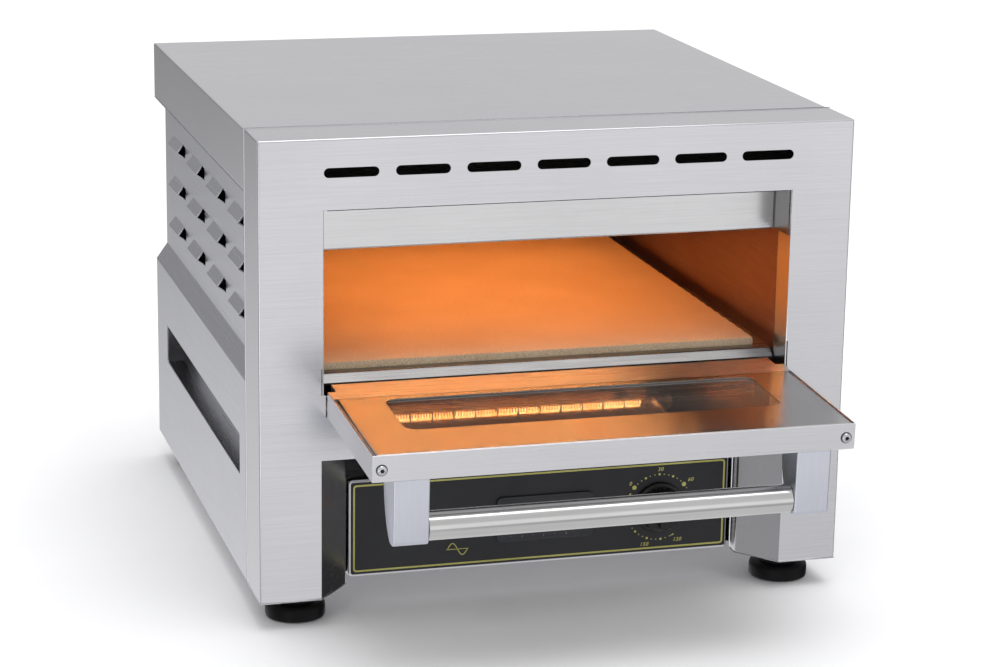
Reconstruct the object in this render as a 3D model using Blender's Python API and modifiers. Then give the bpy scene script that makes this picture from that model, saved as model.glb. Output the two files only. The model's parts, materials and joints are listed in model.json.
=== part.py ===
"""Countertop pizza oven: a folded stainless casing around an insulated stone-floored chamber.

Metres, +Z up, front towards -Y. The door is modelled closed and hangs from an empty on its
hinge axis, which is turned to the open stop, so the oven stands here with its door open.
"""

import math

import bmesh
import bpy
from mathutils import Matrix, Vector

# ---------------------------------------------------------------- driving dimensions
WIDTH = 0.540
DEPTH = 0.545
CASE_HEIGHT = 0.412
FOOT_HEIGHT = 0.026
SHEET = 0.0012
GAP = 0.0003

# casing
FASCIA_RETURN = 0.060
SKIRT = 0.055
PANEL_INSET = 0.011
SLOPE_TOP = 0.2030
SLOPE_BOTTOM = 0.1875
GRIP_FRONT, GRIP_BACK = 0.090, 0.483
GRIP_LOW, GRIP_HIGH, GRIP_DEPTH = 0.0920, 0.1300, 0.0200

# front openings, heights above the casing's bottom edge
MOUTH_HALF = 0.2130
MOUTH_LOW, MOUTH_HIGH = 0.1580, 0.3500
MOUTH_RETURN = 0.0290
DOOR_GAP_HALF, DOOR_GAP_LOW = 0.2112, 0.1673
ARCH_HALF, ARCH_HIGH = 0.2150, 0.1280
SPLAY_IN, SPLAY_BACK = 0.0300, 0.0360
SLOT_COUNT, SLOT_PITCH, SLOT_LENGTH, SLOT_HEIGHT = 7, 0.0629, 0.0484, 0.0086
SLOT_Z = 0.3825

# louvres in the side panels
LOUVRE_ROWS = (0.3270, 0.2850, 0.2430)
LOUVRE_MOUTHS = (0.4350, 0.3270, 0.2190, 0.1110)
LOUVRE_LENGTH, LOUVRE_OUT = 0.0540, 0.0072
LOUVRE_RIDGE, LOUVRE_FOOT = 0.0091, 0.0140

# control panel
TRAY_LEFT, TRAY_RIGHT, TRAY_LOW, TRAY_HIGH, TRAY_Y = -0.1800, 0.1826, 0.0006, 0.0920, 0.0500
DIAL_X, DIAL_Z = 0.1140, 0.0455
KNOB_RADIUS, KNOB_DEPTH = 0.0240, 0.0150
SHAFT_RADIUS = 0.0030
LAMP_X = -0.0780
BADGE_X, BADGE_Z, BADGE_WIDTH, BADGE_HEIGHT = 0.0039, 0.0447, 0.0918, 0.0430

# chamber
CHAMBER_HALF = 0.2130
CHAMBER_FRONT, CHAMBER_BACK = 0.0300, 0.4970
CHAMBER_FLOOR, CHAMBER_ROOF = 0.1600, 0.3400
SILL_TOP, SILL_FRONT, SILL_BACK = 0.1970, 0.0280, 0.0460
STONE_LEFT, STONE_RIGHT, STONE_FRONT, STONE_BACK = -0.2030, 0.2000, 0.0475, 0.4850
STONE_LOW, STONE_TOP = 0.1880, 0.2030
BAFFLE_Y, BAFFLE_LOW = 0.0400, 0.3075
TUBE_ROWS = (0.095, 0.180, 0.265, 0.350, 0.435)
TUBE_Z, TUBE_RADIUS, TUBE_HALF = 0.3250, 0.0060, 0.1980

# door, in its own frame: hinge axis at 0, inner face towards +Y, free edge up
DOOR_HALF = 0.2105
DOOR_OUT, DOOR_IN = -0.0050, 0.0180
DOOR_TAIL, DOOR_TOP = -0.0130, 0.1745
TAIL_STEP_Y, TAIL_STEP_Z = -0.0033, -0.0042
STRIP_TOP = 0.0270
HINGE_Y, HINGE_Z = 0.0050, 0.1730
OPEN_ANGLE = math.radians(92.5)
WINDOW_HALF, WINDOW_LOW, WINDOW_HIGH, WINDOW_RADIUS = 0.1680, 0.0360, 0.1170, 0.0110
GLASS_MARGIN, GLASS = 0.0075, 0.0040
HANDLE_RADIUS, HANDLE_Y, HANDLE_Z = 0.0125, -0.0517, 0.1582
BRACKET_IN, BRACKET_OUT = 0.1605, 0.1915
BRACKET_TOP, BRACKET_DEPTH, BRACKET_REACH = 0.1710, 0.0360, 0.0592
DOOR_SCREW_X, DOOR_SCREW_Y = 0.2025, 0.0055
SCREW_HEAD, SCREW_RISE = 0.0043, 0.0024
PIN_RADIUS = 0.0025

# feet and rear
FOOT_X, FOOT_FRONT, FOOT_BACK = 0.2305, 0.0400, 0.5050
FOOT_RADIUS = 0.0270
GLAND_X, GLAND_Z, GLAND_LENGTH = 0.1700, 0.0600, 0.0160

# The oven with its door open is centred on the origin: the front reach is the heads of the
# two screws in the door's free edge, the back reach is the end of the cable gland.
DOOR_REACH = (DOOR_TOP + SCREW_RISE) * math.sin(OPEN_ANGLE) - HINGE_Y
DOOR_REACH -= DOOR_SCREW_Y * math.cos(OPEN_ANGLE)
FACE_Y = (DOOR_REACH - (DEPTH + GLAND_LENGTH)) / 2


def at(x, y, z):
    """A point given from the fascia's face and the casing's bottom edge."""
    return Vector((x, FACE_Y + y, FOOT_HEIGHT + z))


# ---------------------------------------------------------------- scene and materials
def clear_scene():
    for item in list(bpy.data.objects):
        bpy.data.objects.remove(item, do_unlink=True)


clear_scene()
PARTS = bpy.data.collections.new("pizza_oven")
CUTTERS = bpy.data.collections.new("cutters")
bpy.context.scene.collection.children.link(PARTS)
bpy.context.scene.collection.children.link(CUTTERS)

FINISHES = {
    "brushed_steel": ((0.60, 0.60, 0.61), 1.0, 0.34),
    "polished_steel": ((0.66, 0.65, 0.63), 1.0, 0.14),
    "satin_aluminium": ((0.66, 0.70, 0.77), 1.0, 0.42),
    "tube_steel": ((0.62, 0.61, 0.60), 1.0, 0.24),
    "black_overlay": ((0.035, 0.036, 0.040), 0.0, 0.45),
    "black_plastic": ((0.020, 0.020, 0.022), 0.0, 0.38),
    "black_rubber": ((0.022, 0.024, 0.026), 0.0, 0.62),
    "fire_stone": ((0.70, 0.52, 0.35), 0.0, 0.90),
    "clear_glass": ((0.92, 0.95, 0.94), 0.0, 0.03),
    "quartz": ((0.95, 0.62, 0.25), 0.0, 0.12),
    "amber_lens": ((0.90, 0.35, 0.05), 0.0, 0.20),
    "mineral_wool": ((0.72, 0.66, 0.52), 0.0, 0.95),
    "zinc": ((0.62, 0.63, 0.64), 1.0, 0.38),
    "pale_plastic": ((0.75, 0.74, 0.70), 0.0, 0.50),
}


def finish(name):
    """The shared Principled material of this name."""
    found = bpy.data.materials.get(name)
    if found:
        return found
    colour, metallic, roughness = FINISHES[name]
    made = bpy.data.materials.new(name)
    made.use_nodes = True
    shader = made.node_tree.nodes["Principled BSDF"]
    shader.inputs["Base Color"].default_value = (*colour, 1.0)
    shader.inputs["Metallic"].default_value = metallic
    shader.inputs["Roughness"].default_value = roughness
    return made


# ---------------------------------------------------------------- modelling helpers
def add_object(name, mesh, place, surface, parent=None, cutter=False):
    """Link a mesh as a part, or as a hidden cutter when it has no surface of its own."""
    item = bpy.data.objects.new(name, mesh)
    item.location = place
    if parent:
        item.parent = parent
    if cutter:
        item.hide_render = True
        item.display_type = "WIRE"
        CUTTERS.objects.link(item)
    else:
        mesh.materials.clear()
        mesh.materials.append(finish(surface))
        PARTS.objects.link(item)
    return item


def face_outwards(bm):
    """Make the faces agree and point out of the solid."""
    bmesh.ops.recalc_face_normals(bm, faces=bm.faces)
    if bm.calc_volume(signed=True) < 0:
        bmesh.ops.reverse_faces(bm, faces=bm.faces)


def mesh_from(bm, name, smooth=False):
    face_outwards(bm)
    mesh = bpy.data.meshes.new(name)
    bm.to_mesh(mesh)
    bm.free()
    if smooth:
        mesh.shade_smooth()
        mesh.set_sharp_from_angle(angle=math.radians(35))
    return mesh


def add_box(bm, low, high):
    """One axis-aligned block between two corners."""
    size = [b - a for a, b in zip(low, high)]
    centre = [(a + b) / 2 for a, b in zip(low, high)]
    matrix = Matrix.Translation(centre) @ Matrix.Diagonal((*size, 1.0))
    bmesh.ops.create_cube(bm, size=1.0, matrix=matrix)


def box(name, low, high, surface, parent=None, origin=(0, 0, 0), cutter=False):
    bm = bmesh.new()
    add_box(bm, low, high)
    return add_object(name, mesh_from(bm, name), origin, surface, parent, cutter)


def boxes(name, corners, origin=(0, 0, 0), parent=None):
    """Several blocks as one hidden cutter or union partner."""
    bm = bmesh.new()
    for low, high in corners:
        add_box(bm, low, high)
    return add_object(name, mesh_from(bm, name), origin, None, parent, cutter=True)


AXIS_TURN = {
    "X": Matrix.Rotation(math.radians(90), 4, "Y"),
    "Y": Matrix.Rotation(math.radians(-90), 4, "X"),
    "Z": Matrix.Identity(4),
}


def add_rod(bm, start, axis, length, radius, radius_end=None, segments=20):
    """A cylinder or cone from a start point along +axis."""
    turn = AXIS_TURN[axis]
    centre = Vector(start) + turn @ Vector((0, 0, length / 2))
    bmesh.ops.create_cone(bm, cap_ends=True, segments=segments, depth=length,
                          radius1=radius, radius2=radius if radius_end is None else radius_end,
                          matrix=Matrix.Translation(centre) @ turn)


def rod(name, start, axis, length, radius, surface, parent=None, origin=(0, 0, 0),
        segments=20, cutter=False):
    bm = bmesh.new()
    add_rod(bm, start, axis, length, radius, segments=segments)
    mesh = mesh_from(bm, name, smooth=not cutter)
    return add_object(name, mesh, origin, surface, parent, cutter)


def arc(centre, radius, start, end, steps):
    """Points of a round corner, angles in degrees."""
    turns = [math.radians(start + (end - start) * i / steps) for i in range(steps + 1)]
    return [(centre[0] + radius * math.cos(t), centre[1] + radius * math.sin(t)) for t in turns]


def rounded(low, high, radius, steps=4):
    """A rectangle with round corners, anticlockwise."""
    (x0, y0), (x1, y1) = low, high
    points = []
    for cx, cy, start in ((x1 - radius, y1 - radius, 0), (x0 + radius, y1 - radius, 90),
                          (x0 + radius, y0 + radius, 180), (x1 - radius, y0 + radius, 270)):
        points += arc((cx, cy), radius, start, start + 90, steps)
    return points


PLANE_TURN = {
    "XZ": Matrix(((1, 0, 0, 0), (0, 0, 1, 0), (0, 1, 0, 0), (0, 0, 0, 1))),
    "YZ": Matrix(((0, 0, 1, 0), (1, 0, 0, 0), (0, 1, 0, 0), (0, 0, 0, 1))),
    "XY": Matrix.Identity(4),
}


def outline_mesh(name, loops, plane, start, end):
    """A flat outline, with any holes in it, filled and given its thickness along the third axis."""
    curve = bpy.data.curves.new(name, "CURVE")
    curve.dimensions = "2D"
    curve.fill_mode = "BOTH"
    curve.extrude = (end - start) / 2
    for loop in loops:
        spline = curve.splines.new("POLY")
        spline.points.add(len(loop) - 1)
        for point, (u, v) in zip(spline.points, loop):
            point.co = (u, v, 0.0, 1.0)
        spline.use_cyclic_u = True
    shape = bpy.data.objects.new(name, curve)
    bpy.context.scene.collection.objects.link(shape)
    bpy.context.view_layer.update()
    graph = bpy.context.evaluated_depsgraph_get()
    mesh = bpy.data.meshes.new_from_object(shape.evaluated_get(graph))
    bpy.data.objects.remove(shape, do_unlink=True)
    bpy.data.curves.remove(curve)
    bm = bmesh.new()
    bm.from_mesh(mesh)
    bmesh.ops.remove_doubles(bm, verts=bm.verts, dist=0.00001)
    bmesh.ops.translate(bm, verts=bm.verts, vec=(0, 0, (start + end) / 2))
    bm.transform(PLANE_TURN[plane])
    face_outwards(bm)
    bm.to_mesh(mesh)
    bm.free()
    mesh.name = name
    return mesh


def prism(name, loops, plane, start, end, surface, parent=None, origin=(0, 0, 0), cutter=False):
    mesh = outline_mesh(name, loops, plane, start, end)
    return add_object(name, mesh, origin, surface, parent, cutter)


def folded_sheet(name, profile, plane, start, end, thickness, surface, offset=1.0):
    """A strip of sheet folded along a profile and run from start to end, then given thickness."""
    bm = bmesh.new()
    turn = PLANE_TURN[plane]
    rows = [[bm.verts.new(turn @ Vector((u, v, w))) for u, v in profile] for w in (start, end)]
    for i in range(len(profile) - 1):
        bm.faces.new((rows[0][i], rows[0][i + 1], rows[1][i + 1], rows[1][i]))
    mesh = bpy.data.meshes.new(name)
    bm.to_mesh(mesh)
    bm.free()
    item = add_object(name, mesh, (0, 0, 0), surface)
    solid = item.modifiers.new("thickness", "SOLIDIFY")
    solid.thickness = thickness
    solid.offset = offset
    solid.use_even_offset = True
    return item


def combine(item, partner, operation):
    step = item.modifiers.new(operation.lower(), "BOOLEAN")
    step.operation = operation
    step.solver = "EXACT"
    step.object = partner


def cut(item, partner):
    combine(item, partner, "DIFFERENCE")


def unite(item, partner):
    combine(item, partner, "UNION")


def turned(name, profile, axis, segments, surface, parent=None, origin=(0, 0, 0)):
    """A solid of revolution from a (radius, height) profile whose ends lie on the axis."""
    bm = bmesh.new()
    verts = [bm.verts.new((radius, 0, height)) for radius, height in profile]
    for a, b in zip(verts, verts[1:]):
        bm.edges.new((a, b))
    bmesh.ops.spin(bm, geom=bm.verts[:] + bm.edges[:], cent=(0, 0, 0), axis=(0, 0, 1),
                   angle=math.tau, steps=segments, use_merge=True)
    bmesh.ops.remove_doubles(bm, verts=bm.verts, dist=0.00001)
    bm.transform(AXIS_TURN[axis])
    mesh = mesh_from(bm, name, smooth=True)
    return add_object(name, mesh, origin, surface, parent)


# ---------------------------------------------------------------- casing
def mirrored(points):
    """The same outline reflected to the other side, still anticlockwise."""
    return [(-x, z) for x, z in reversed(points)]


def build_fascia():
    """Face plate with its openings, outer returns, mouth returns and splayed leg returns."""
    half = WIDTH / 2
    base = FOOT_HEIGHT
    face = [(-half, base), (-ARCH_HALF, base), (-ARCH_HALF, base + ARCH_HIGH),
            (ARCH_HALF, base + ARCH_HIGH), (ARCH_HALF, base), (half, base),
            (half, base + CASE_HEIGHT), (-half, base + CASE_HEIGHT)]
    low, high = base + MOUTH_LOW, base + MOUTH_HIGH
    notch_low, notch_high, notch = base + 0.187, base + 0.211, 0.002
    wide = MOUTH_HALF + notch
    lip = base + DOOR_GAP_LOW
    side = [(DOOR_GAP_HALF, lip), (DOOR_GAP_HALF, notch_low), (wide, notch_low), (wide, notch_high),
            (MOUTH_HALF, notch_high), (MOUTH_HALF, high)]
    mouth = side + mirrored(side)
    loops = [face, mouth]
    for i in range(SLOT_COUNT):
        x = (i - (SLOT_COUNT - 1) / 2) * SLOT_PITCH
        z = base + SLOT_Z
        half_slot = SLOT_LENGTH / 2
        loops.append(rounded((x - half_slot, z - SLOT_HEIGHT / 2),
                             (x + half_slot, z + SLOT_HEIGHT / 2), SLOT_HEIGHT / 2 - 0.0001, 4))
    fascia = prism("front_fascia", loops, "XZ", FACE_Y, FACE_Y + SHEET, "brushed_steel")

    back = FACE_Y + FASCIA_RETURN
    top = base + CASE_HEIGHT
    lap = SHEET / 2
    mouth_back = FACE_Y + MOUTH_RETURN
    tray_back = FACE_Y + TRAY_Y - GAP
    arch_top = base + ARCH_HIGH
    plates = [
        ((-half, FACE_Y + lap, base), (-half + SHEET, back, top)),
        ((half - SHEET, FACE_Y + lap, base), (half, back, top)),
        ((-half + lap, FACE_Y + lap, top - SHEET), (half - lap, back, top)),
    ]
    unite(fascia, boxes("fascia_outer_returns", plates[:2]))
    unite(fascia, boxes("fascia_top_return", plates[2:]))
    inner = MOUTH_HALF + SHEET
    frame_sides = [((s * MOUTH_HALF, FACE_Y + lap, low - SHEET), (s * inner, mouth_back, high))
                   for s in (-1, 1)]
    frame_sides = [((min(a[0], b[0]), *a[1:]), (max(a[0], b[0]), *b[1:])) for a, b in frame_sides]
    unite(fascia, boxes("mouth_side_returns", frame_sides))
    frame_ends = [((-inner, FACE_Y + lap, high), (inner, mouth_back, high + SHEET)),
                  ((-inner + lap, FACE_Y + lap, low - SHEET), (inner - lap, mouth_back - 0.004, low))]
    unite(fascia, boxes("mouth_end_returns", frame_ends))
    splay_x = ARCH_HALF - SPLAY_IN
    splay = [(ARCH_HALF, FACE_Y + lap), (splay_x, FACE_Y + SPLAY_BACK), (splay_x, tray_back),
             (splay_x + SHEET, tray_back), (splay_x + SHEET, FACE_Y + SPLAY_BACK + lap),
             (ARCH_HALF + SHEET * 1.3, FACE_Y + lap)]
    for sign, side_name in ((1, "right"), (-1, "left")):
        outline = splay if sign > 0 else [(-x, y) for x, y in reversed(splay)]
        leg = prism(f"{side_name}_splay", [outline], "XY", base, arch_top + SHEET, None, cutter=True)
        unite(fascia, leg)
    hood = [(-ARCH_HALF - lap, FACE_Y + lap), (ARCH_HALF + lap, FACE_Y + lap),
            (splay_x + lap, FACE_Y + SPLAY_BACK), (splay_x + lap, tray_back),
            (-splay_x - lap, tray_back), (-splay_x - lap, FACE_Y + SPLAY_BACK)]
    unite(fascia, prism("arch_ceiling", [hood], "XY", arch_top, arch_top + SHEET, None, cutter=True))
    pin_holes = bmesh.new()
    add_rod(pin_holes, at(-0.2300, HINGE_Y, HINGE_Z), "X", 0.0300, PIN_RADIUS + GAP, segments=12)
    add_rod(pin_holes, at(0.2000, HINGE_Y, HINGE_Z), "X", 0.0300, PIN_RADIUS + GAP, segments=12)
    holes = add_object("fascia_pin_holes", mesh_from(pin_holes, "fascia_pin_holes"),
                       (0, 0, 0), None, cutter=True)
    cut(fascia, holes)


def build_top_cover():
    """Flat top with a skirt down each side and down the back."""
    half = WIDTH / 2 - GAP
    front, back = FACE_Y + FASCIA_RETURN + GAP, FACE_Y + DEPTH
    top = FOOT_HEIGHT + CASE_HEIGHT - 0.0005
    skirt_low = top - SKIRT
    profile = [(-half, skirt_low), (-half, top), (half, top), (half, skirt_low)]
    cover = folded_sheet("top_cover", profile, "XZ", front, back, SHEET, "brushed_steel", -1.0)
    lap = SHEET / 2
    rear = boxes("top_cover_rear_skirt", [((-half + lap, back - SHEET, skirt_low),
                                           (half - lap, back, top - lap))])
    unite(cover, rear)


def louvre_places():
    return [(FACE_Y + y, FOOT_HEIGHT + z) for z in LOUVRE_ROWS for y in LOUVRE_MOUTHS]


def build_side_panel(sign, name):
    """Louvred upper panel, sloped band, lower casing with its grip slot, and a bottom return."""
    outer = sign * (WIDTH / 2)
    inset = sign * (WIDTH / 2 - PANEL_INSET)
    base = FOOT_HEIGHT
    front, back = FACE_Y + FASCIA_RETURN + GAP, FACE_Y + DEPTH - SHEET - GAP
    hidden_top = base + CASE_HEIGHT - 0.004
    profile = [(inset, hidden_top), (inset, base + SLOPE_TOP), (outer, base + SLOPE_BOTTOM),
               (outer, base + 0.0005), (outer - sign * 0.020, base + 0.0005)]
    panel = folded_sheet(name, profile, "XZ", front, back, SHEET, "brushed_steel", sign * -1.0)

    grip = boxes(f"{name}_grip_cut", [((outer - 0.004, FACE_Y + GRIP_FRONT, base + GRIP_LOW),
                                       (outer + 0.004, FACE_Y + GRIP_BACK, base + GRIP_HIGH))])
    cut(panel, grip)
    lip_low = base + GRIP_LOW - SHEET
    lip_x = sorted((outer - sign * 0.0003, outer - sign * GRIP_DEPTH))
    wall_x = sorted((outer - sign * (GRIP_DEPTH - 0.0004), outer - sign * (GRIP_DEPTH + 0.0008)))
    lip = boxes(f"{name}_grip_lip", [((lip_x[0], FACE_Y + GRIP_FRONT, lip_low),
                                      (lip_x[1], FACE_Y + GRIP_BACK, lip_low + SHEET))])
    pocket = boxes(f"{name}_grip_pocket", [((wall_x[0], FACE_Y + GRIP_FRONT, lip_low),
                                            (wall_x[1], FACE_Y + GRIP_BACK, base + 0.1310))])
    unite(panel, lip)
    unite(panel, pocket)

    hoods = bmesh.new()
    mouths = bmesh.new()
    wall = SHEET
    for y, z in louvre_places():
        ridge = inset + sign * LOUVRE_OUT
        root = inset - sign * 0.0006
        outline = [(root, z), (inset, z), (ridge, z - LOUVRE_RIDGE), (inset, z - LOUVRE_FOOT),
                   (root, z - LOUVRE_FOOT)]
        add_prism(hoods, outline, y, y + LOUVRE_LENGTH)
        inner = [(inset - sign * 0.0060, z - wall), (inset, z - wall),
                 (ridge - sign * wall * 1.4, z - LOUVRE_RIDGE),
                 (inset, z - LOUVRE_FOOT + wall), (inset - sign * 0.0060, z - LOUVRE_FOOT + wall)]
        add_prism(mouths, inner, y - 0.0100, y + LOUVRE_LENGTH - wall)
    hood = add_object(f"{name}_hoods", mesh_from(hoods, f"{name}_hoods"), (0, 0, 0), None, cutter=True)
    mouth = add_object(f"{name}_mouths", mesh_from(mouths, f"{name}_mouths"), (0, 0, 0), None,
                       cutter=True)
    unite(panel, hood)
    cut(panel, mouth)


def add_prism(bm, outline, start, end):
    """An (x, z) outline run along Y as one closed body."""
    first = [bm.verts.new((x, start, z)) for x, z in outline]
    face = bm.faces.new(first)
    made = bmesh.ops.extrude_face_region(bm, geom=[face])
    moved = [v for v in made["geom"] if isinstance(v, bmesh.types.BMVert)]
    bmesh.ops.translate(bm, verts=moved, vec=(0, end - start, 0))


def build_rear_panel():
    """Back plate between the side panels, with rows of vent slots and the gland's hole."""
    base = FOOT_HEIGHT
    wide, narrow = WIDTH / 2 - SHEET - GAP, WIDTH / 2 - PANEL_INSET - SHEET - 2 * GAP
    outline = [(-wide, base + 0.0035), (wide, base + 0.0035), (wide, base + SLOPE_BOTTOM - 0.001),
               (narrow, base + SLOPE_TOP), (narrow, base + CASE_HEIGHT - 0.006),
               (-narrow, base + CASE_HEIGHT - 0.006), (-narrow, base + SLOPE_TOP),
               (-wide, base + SLOPE_BOTTOM - 0.001)]
    loops = [outline]
    for row in (0.250, 0.275, 0.300):
        for x in (-0.150, -0.050, 0.050, 0.150):
            loops.append(rounded((x - 0.035, base + row), (x + 0.035, base + row + 0.008), 0.0039, 2))
    centre = (GLAND_X, base + GLAND_Z)
    loops.append(arc(centre, 0.0080, 0, 360 - 360 / 16, 15))
    back = FACE_Y + DEPTH - SHEET - GAP
    prism("rear_panel", loops, "XZ", back - SHEET, back, "brushed_steel")


def build_base_plate():
    low = FOOT_HEIGHT + 0.0020
    half = WIDTH / 2 - SHEET - GAP
    front, back = FACE_Y + FASCIA_RETURN + GAP, FACE_Y + DEPTH - 2 * SHEET - 3 * GAP
    box("base_plate", (-half, front, low), (half, back, low + SHEET), "brushed_steel")


def build_feet():
    """Rubber feet: a wide disc with a narrower neck under the casing."""
    top = FOOT_HEIGHT - GAP
    r = FOOT_RADIUS
    profile = [(0, top), (r * 0.72, top), (r * 0.72, top * 0.62), (r * 0.90, top * 0.55),
               (r, top * 0.42), (r, top * 0.10), (r * 0.93, 0), (0, 0)]
    places = (("left_front", -FOOT_X, FOOT_FRONT), ("right_front", FOOT_X, FOOT_FRONT),
              ("left_rear", -FOOT_X, FOOT_BACK), ("right_rear", FOOT_X, FOOT_BACK))
    for name, x, y in places:
        turned(f"foot_{name}", profile, "Z", 20, "black_rubber", origin=(x, FACE_Y + y, 0))
    for side, x in (("left", -FOOT_X), ("right", FOOT_X)):
        low = FOOT_HEIGHT
        sign = 1 if x > 0 else -1
        inner, outer = sorted((sign * (ARCH_HALF - 0.0015), sign * (WIDTH / 2 - SHEET - GAP)))
        floor = [(sign * (WIDTH / 2 - SHEET - GAP), FACE_Y + SHEET + GAP),
                 (sign * (ARCH_HALF + 0.0035), FACE_Y + SHEET + GAP),
                 (sign * (ARCH_HALF - SPLAY_IN + 0.0032), FACE_Y + SPLAY_BACK + 0.0020),
                 (sign * (ARCH_HALF - SPLAY_IN + 0.0032), FACE_Y + FASCIA_RETURN - GAP),
                 (sign * (WIDTH / 2 - SHEET - GAP), FACE_Y + FASCIA_RETURN - GAP)]
        prism(f"{side}_leg_floor", [floor], "XY", low, low + 0.0020, "zinc")


# ---------------------------------------------------------------- controls
def build_controls():
    """Tray in the arch, its overlay and badge, the timer with its knob, and a pilot lamp."""
    base = FOOT_HEIGHT
    y = FACE_Y + TRAY_Y
    low, high = base + TRAY_LOW, base + TRAY_HIGH
    hole = arc((DIAL_X, base + DIAL_Z), SHAFT_RADIUS + GAP, 0, 360 - 360 / 16, 15)
    lamp = arc((LAMP_X, base + DIAL_Z), 0.0050 + GAP, 0, 360 - 360 / 16, 15)
    left, right = TRAY_LEFT, TRAY_RIGHT
    face = rounded((left, low), (right, high), 0.004, 3)
    tray = prism("control_tray", [face, hole, lamp], "XZ", y, y + 0.0100, "brushed_steel")
    hollow = boxes("tray_hollow", [((left + SHEET, y + SHEET, low + SHEET),
                                    (right - SHEET, y + 0.0150, high - SHEET))])
    cut(tray, hollow)
    sheet = rounded((left + 0.0025, low + 0.0025), (right - 0.0025, high - 0.0025), 0.002, 2)
    prism("control_overlay", [sheet, hole, lamp], "XZ", y - 0.0008, y - GAP, "black_overlay")
    centre_x, centre_z = BADGE_X, base + BADGE_Z
    badge = rounded((centre_x - BADGE_WIDTH / 2, centre_z - BADGE_HEIGHT / 2),
                    (centre_x + BADGE_WIDTH / 2, centre_z + BADGE_HEIGHT / 2), 0.005, 3)
    prism("badge_plate", [badge], "XZ", y - 0.0030, y - 0.0008 - GAP, "black_plastic")

    axis = bpy.data.objects.new("timer_axis", None)
    axis.location = (DIAL_X, y, base + DIAL_Z)
    PARTS.objects.link(axis)
    seat = 0.0012
    outer = -seat - KNOB_DEPTH
    body = [(0, -seat), (KNOB_RADIUS, -seat), (KNOB_RADIUS, -seat - 0.0035),
            (KNOB_RADIUS * 0.86, -seat - 0.0050), (KNOB_RADIUS * 0.80, outer + 0.0015),
            (KNOB_RADIUS * 0.74, outer), (0, outer)]
    knob = turned("timer_knob", body[::-1], "Y", 24, "black_plastic", parent=axis)
    grip = rounded((-0.0045, -KNOB_RADIUS * 0.70), (0.0045, KNOB_RADIUS * 0.92), 0.003, 2)
    bar = prism("knob_grip_bar", [grip], "XZ", outer - 0.0050, outer + 0.0020, None, parent=axis,
                cutter=True)
    unite(knob, bar)
    bore = rod("knob_bore", (0, outer + 0.0060, 0), "Y", 0.0200, SHAFT_RADIUS + GAP, None,
               parent=axis, segments=16, cutter=True)
    cut(knob, bore)
    rod("timer_shaft", (0, outer + 0.0060 + GAP, 0), "Y", 0.0330, SHAFT_RADIUS, "zinc", parent=axis,
        segments=16)

    block = box("timer_body", (DIAL_X - 0.022, y + SHEET + GAP, base + DIAL_Z - 0.022),
                (DIAL_X + 0.022, y + 0.0360, base + DIAL_Z + 0.022), "pale_plastic")
    socket = rod("timer_body_bore", (DIAL_X, y - 0.0050, base + DIAL_Z), "Y", 0.0300,
                 SHAFT_RADIUS + GAP, None, segments=16, cutter=True)
    cut(block, socket)
    place = (LAMP_X, y, base + DIAL_Z)
    lens = [(0, 0.0140), (0.0050, 0.0140), (0.0050, -0.0010), (0.0062, -0.0011), (0.0058, -0.0034),
            (0.0040, -0.0050), (0, -0.0056)]
    turned("pilot_lamp_lens", lens, "Y", 16, "amber_lens", origin=place)
    turned("pilot_lamp_body", [(0, 0.0300), (0.0060, 0.0300), (0.0060, 0.0143), (0, 0.0143)], "Y", 12,
           "pale_plastic", origin=place)


# ---------------------------------------------------------------- chamber
def build_chamber():
    """Flat sheets around the cooking space, with the baffle over its mouth."""
    base = FOOT_HEIGHT
    front, back = FACE_Y + CHAMBER_FRONT, FACE_Y + CHAMBER_BACK
    low, high = base + CHAMBER_FLOOR, base + CHAMBER_ROOF
    half = CHAMBER_HALF
    for sign, side in ((-1, "left"), (1, "right")):
        x0, x1 = sorted((sign * half, sign * (half + SHEET)))
        box(f"chamber_{side}_wall", (x0, front, low), (x1, back, high), "polished_steel")
    inner = half - GAP
    box("chamber_back_wall", (-inner, back - SHEET, low), (inner, back, high), "polished_steel")
    rear = back - SHEET - GAP
    shelf = front + BAFFLE_Y - CHAMBER_FRONT + SHEET + 0.001
    box("roof_reflector", (-inner, shelf, high - SHEET), (inner, rear, high), "polished_steel")
    box("chamber_floor", (-inner, front, low), (inner, rear, low + SHEET), "polished_steel")

    top = base + MOUTH_HIGH + SHEET + GAP
    face = FACE_Y + BAFFLE_Y
    edge = half - 0.0004
    hem = base + BAFFLE_LOW
    profile = [(FACE_Y + MOUTH_RETURN + GAP, top), (face, top), (face, hem), (face + 0.012, hem)]
    folded_sheet("upper_baffle", profile, "YZ", -edge, edge, SHEET, "polished_steel", 1.0)


def build_stone():
    """The stone, the two rails it rests on and the sill in front of it."""
    base = FOOT_HEIGHT
    stone = box("baking_stone", (STONE_LEFT, FACE_Y + STONE_FRONT, base + STONE_LOW),
                (STONE_RIGHT, FACE_Y + STONE_BACK, base + STONE_TOP), "fire_stone")
    bevel = stone.modifiers.new("edges", "BEVEL")
    bevel.width = 0.0012
    bevel.segments = 1

    rest = base + STONE_LOW - GAP
    ledge = base + SILL_TOP
    for sign, side, edge in ((-1, "left", STONE_LEFT), (1, "right", STONE_RIGHT)):
        post = edge + sign * 0.0006
        profile = [(post - sign * 0.014, rest), (post, rest), (post, ledge),
                   (sign * (CHAMBER_HALF - GAP), ledge)]
        folded_sheet(f"stone_rail_{side}", profile, "XZ", FACE_Y + SILL_BACK + 0.0015,
                     FACE_Y + CHAMBER_BACK - SHEET - 2 * GAP, SHEET, "polished_steel", -sign)
    front, back = FACE_Y + SILL_FRONT, FACE_Y + SILL_BACK
    profile = [(front, base + 0.1880), (front, base + 0.1898), (front + 0.0065, ledge), (back, ledge),
               (back, base + 0.1800)]
    end = CHAMBER_HALF - 0.0006
    folded_sheet("front_sill", profile, "YZ", -end, end, SHEET, "polished_steel", 1.0)


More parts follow.
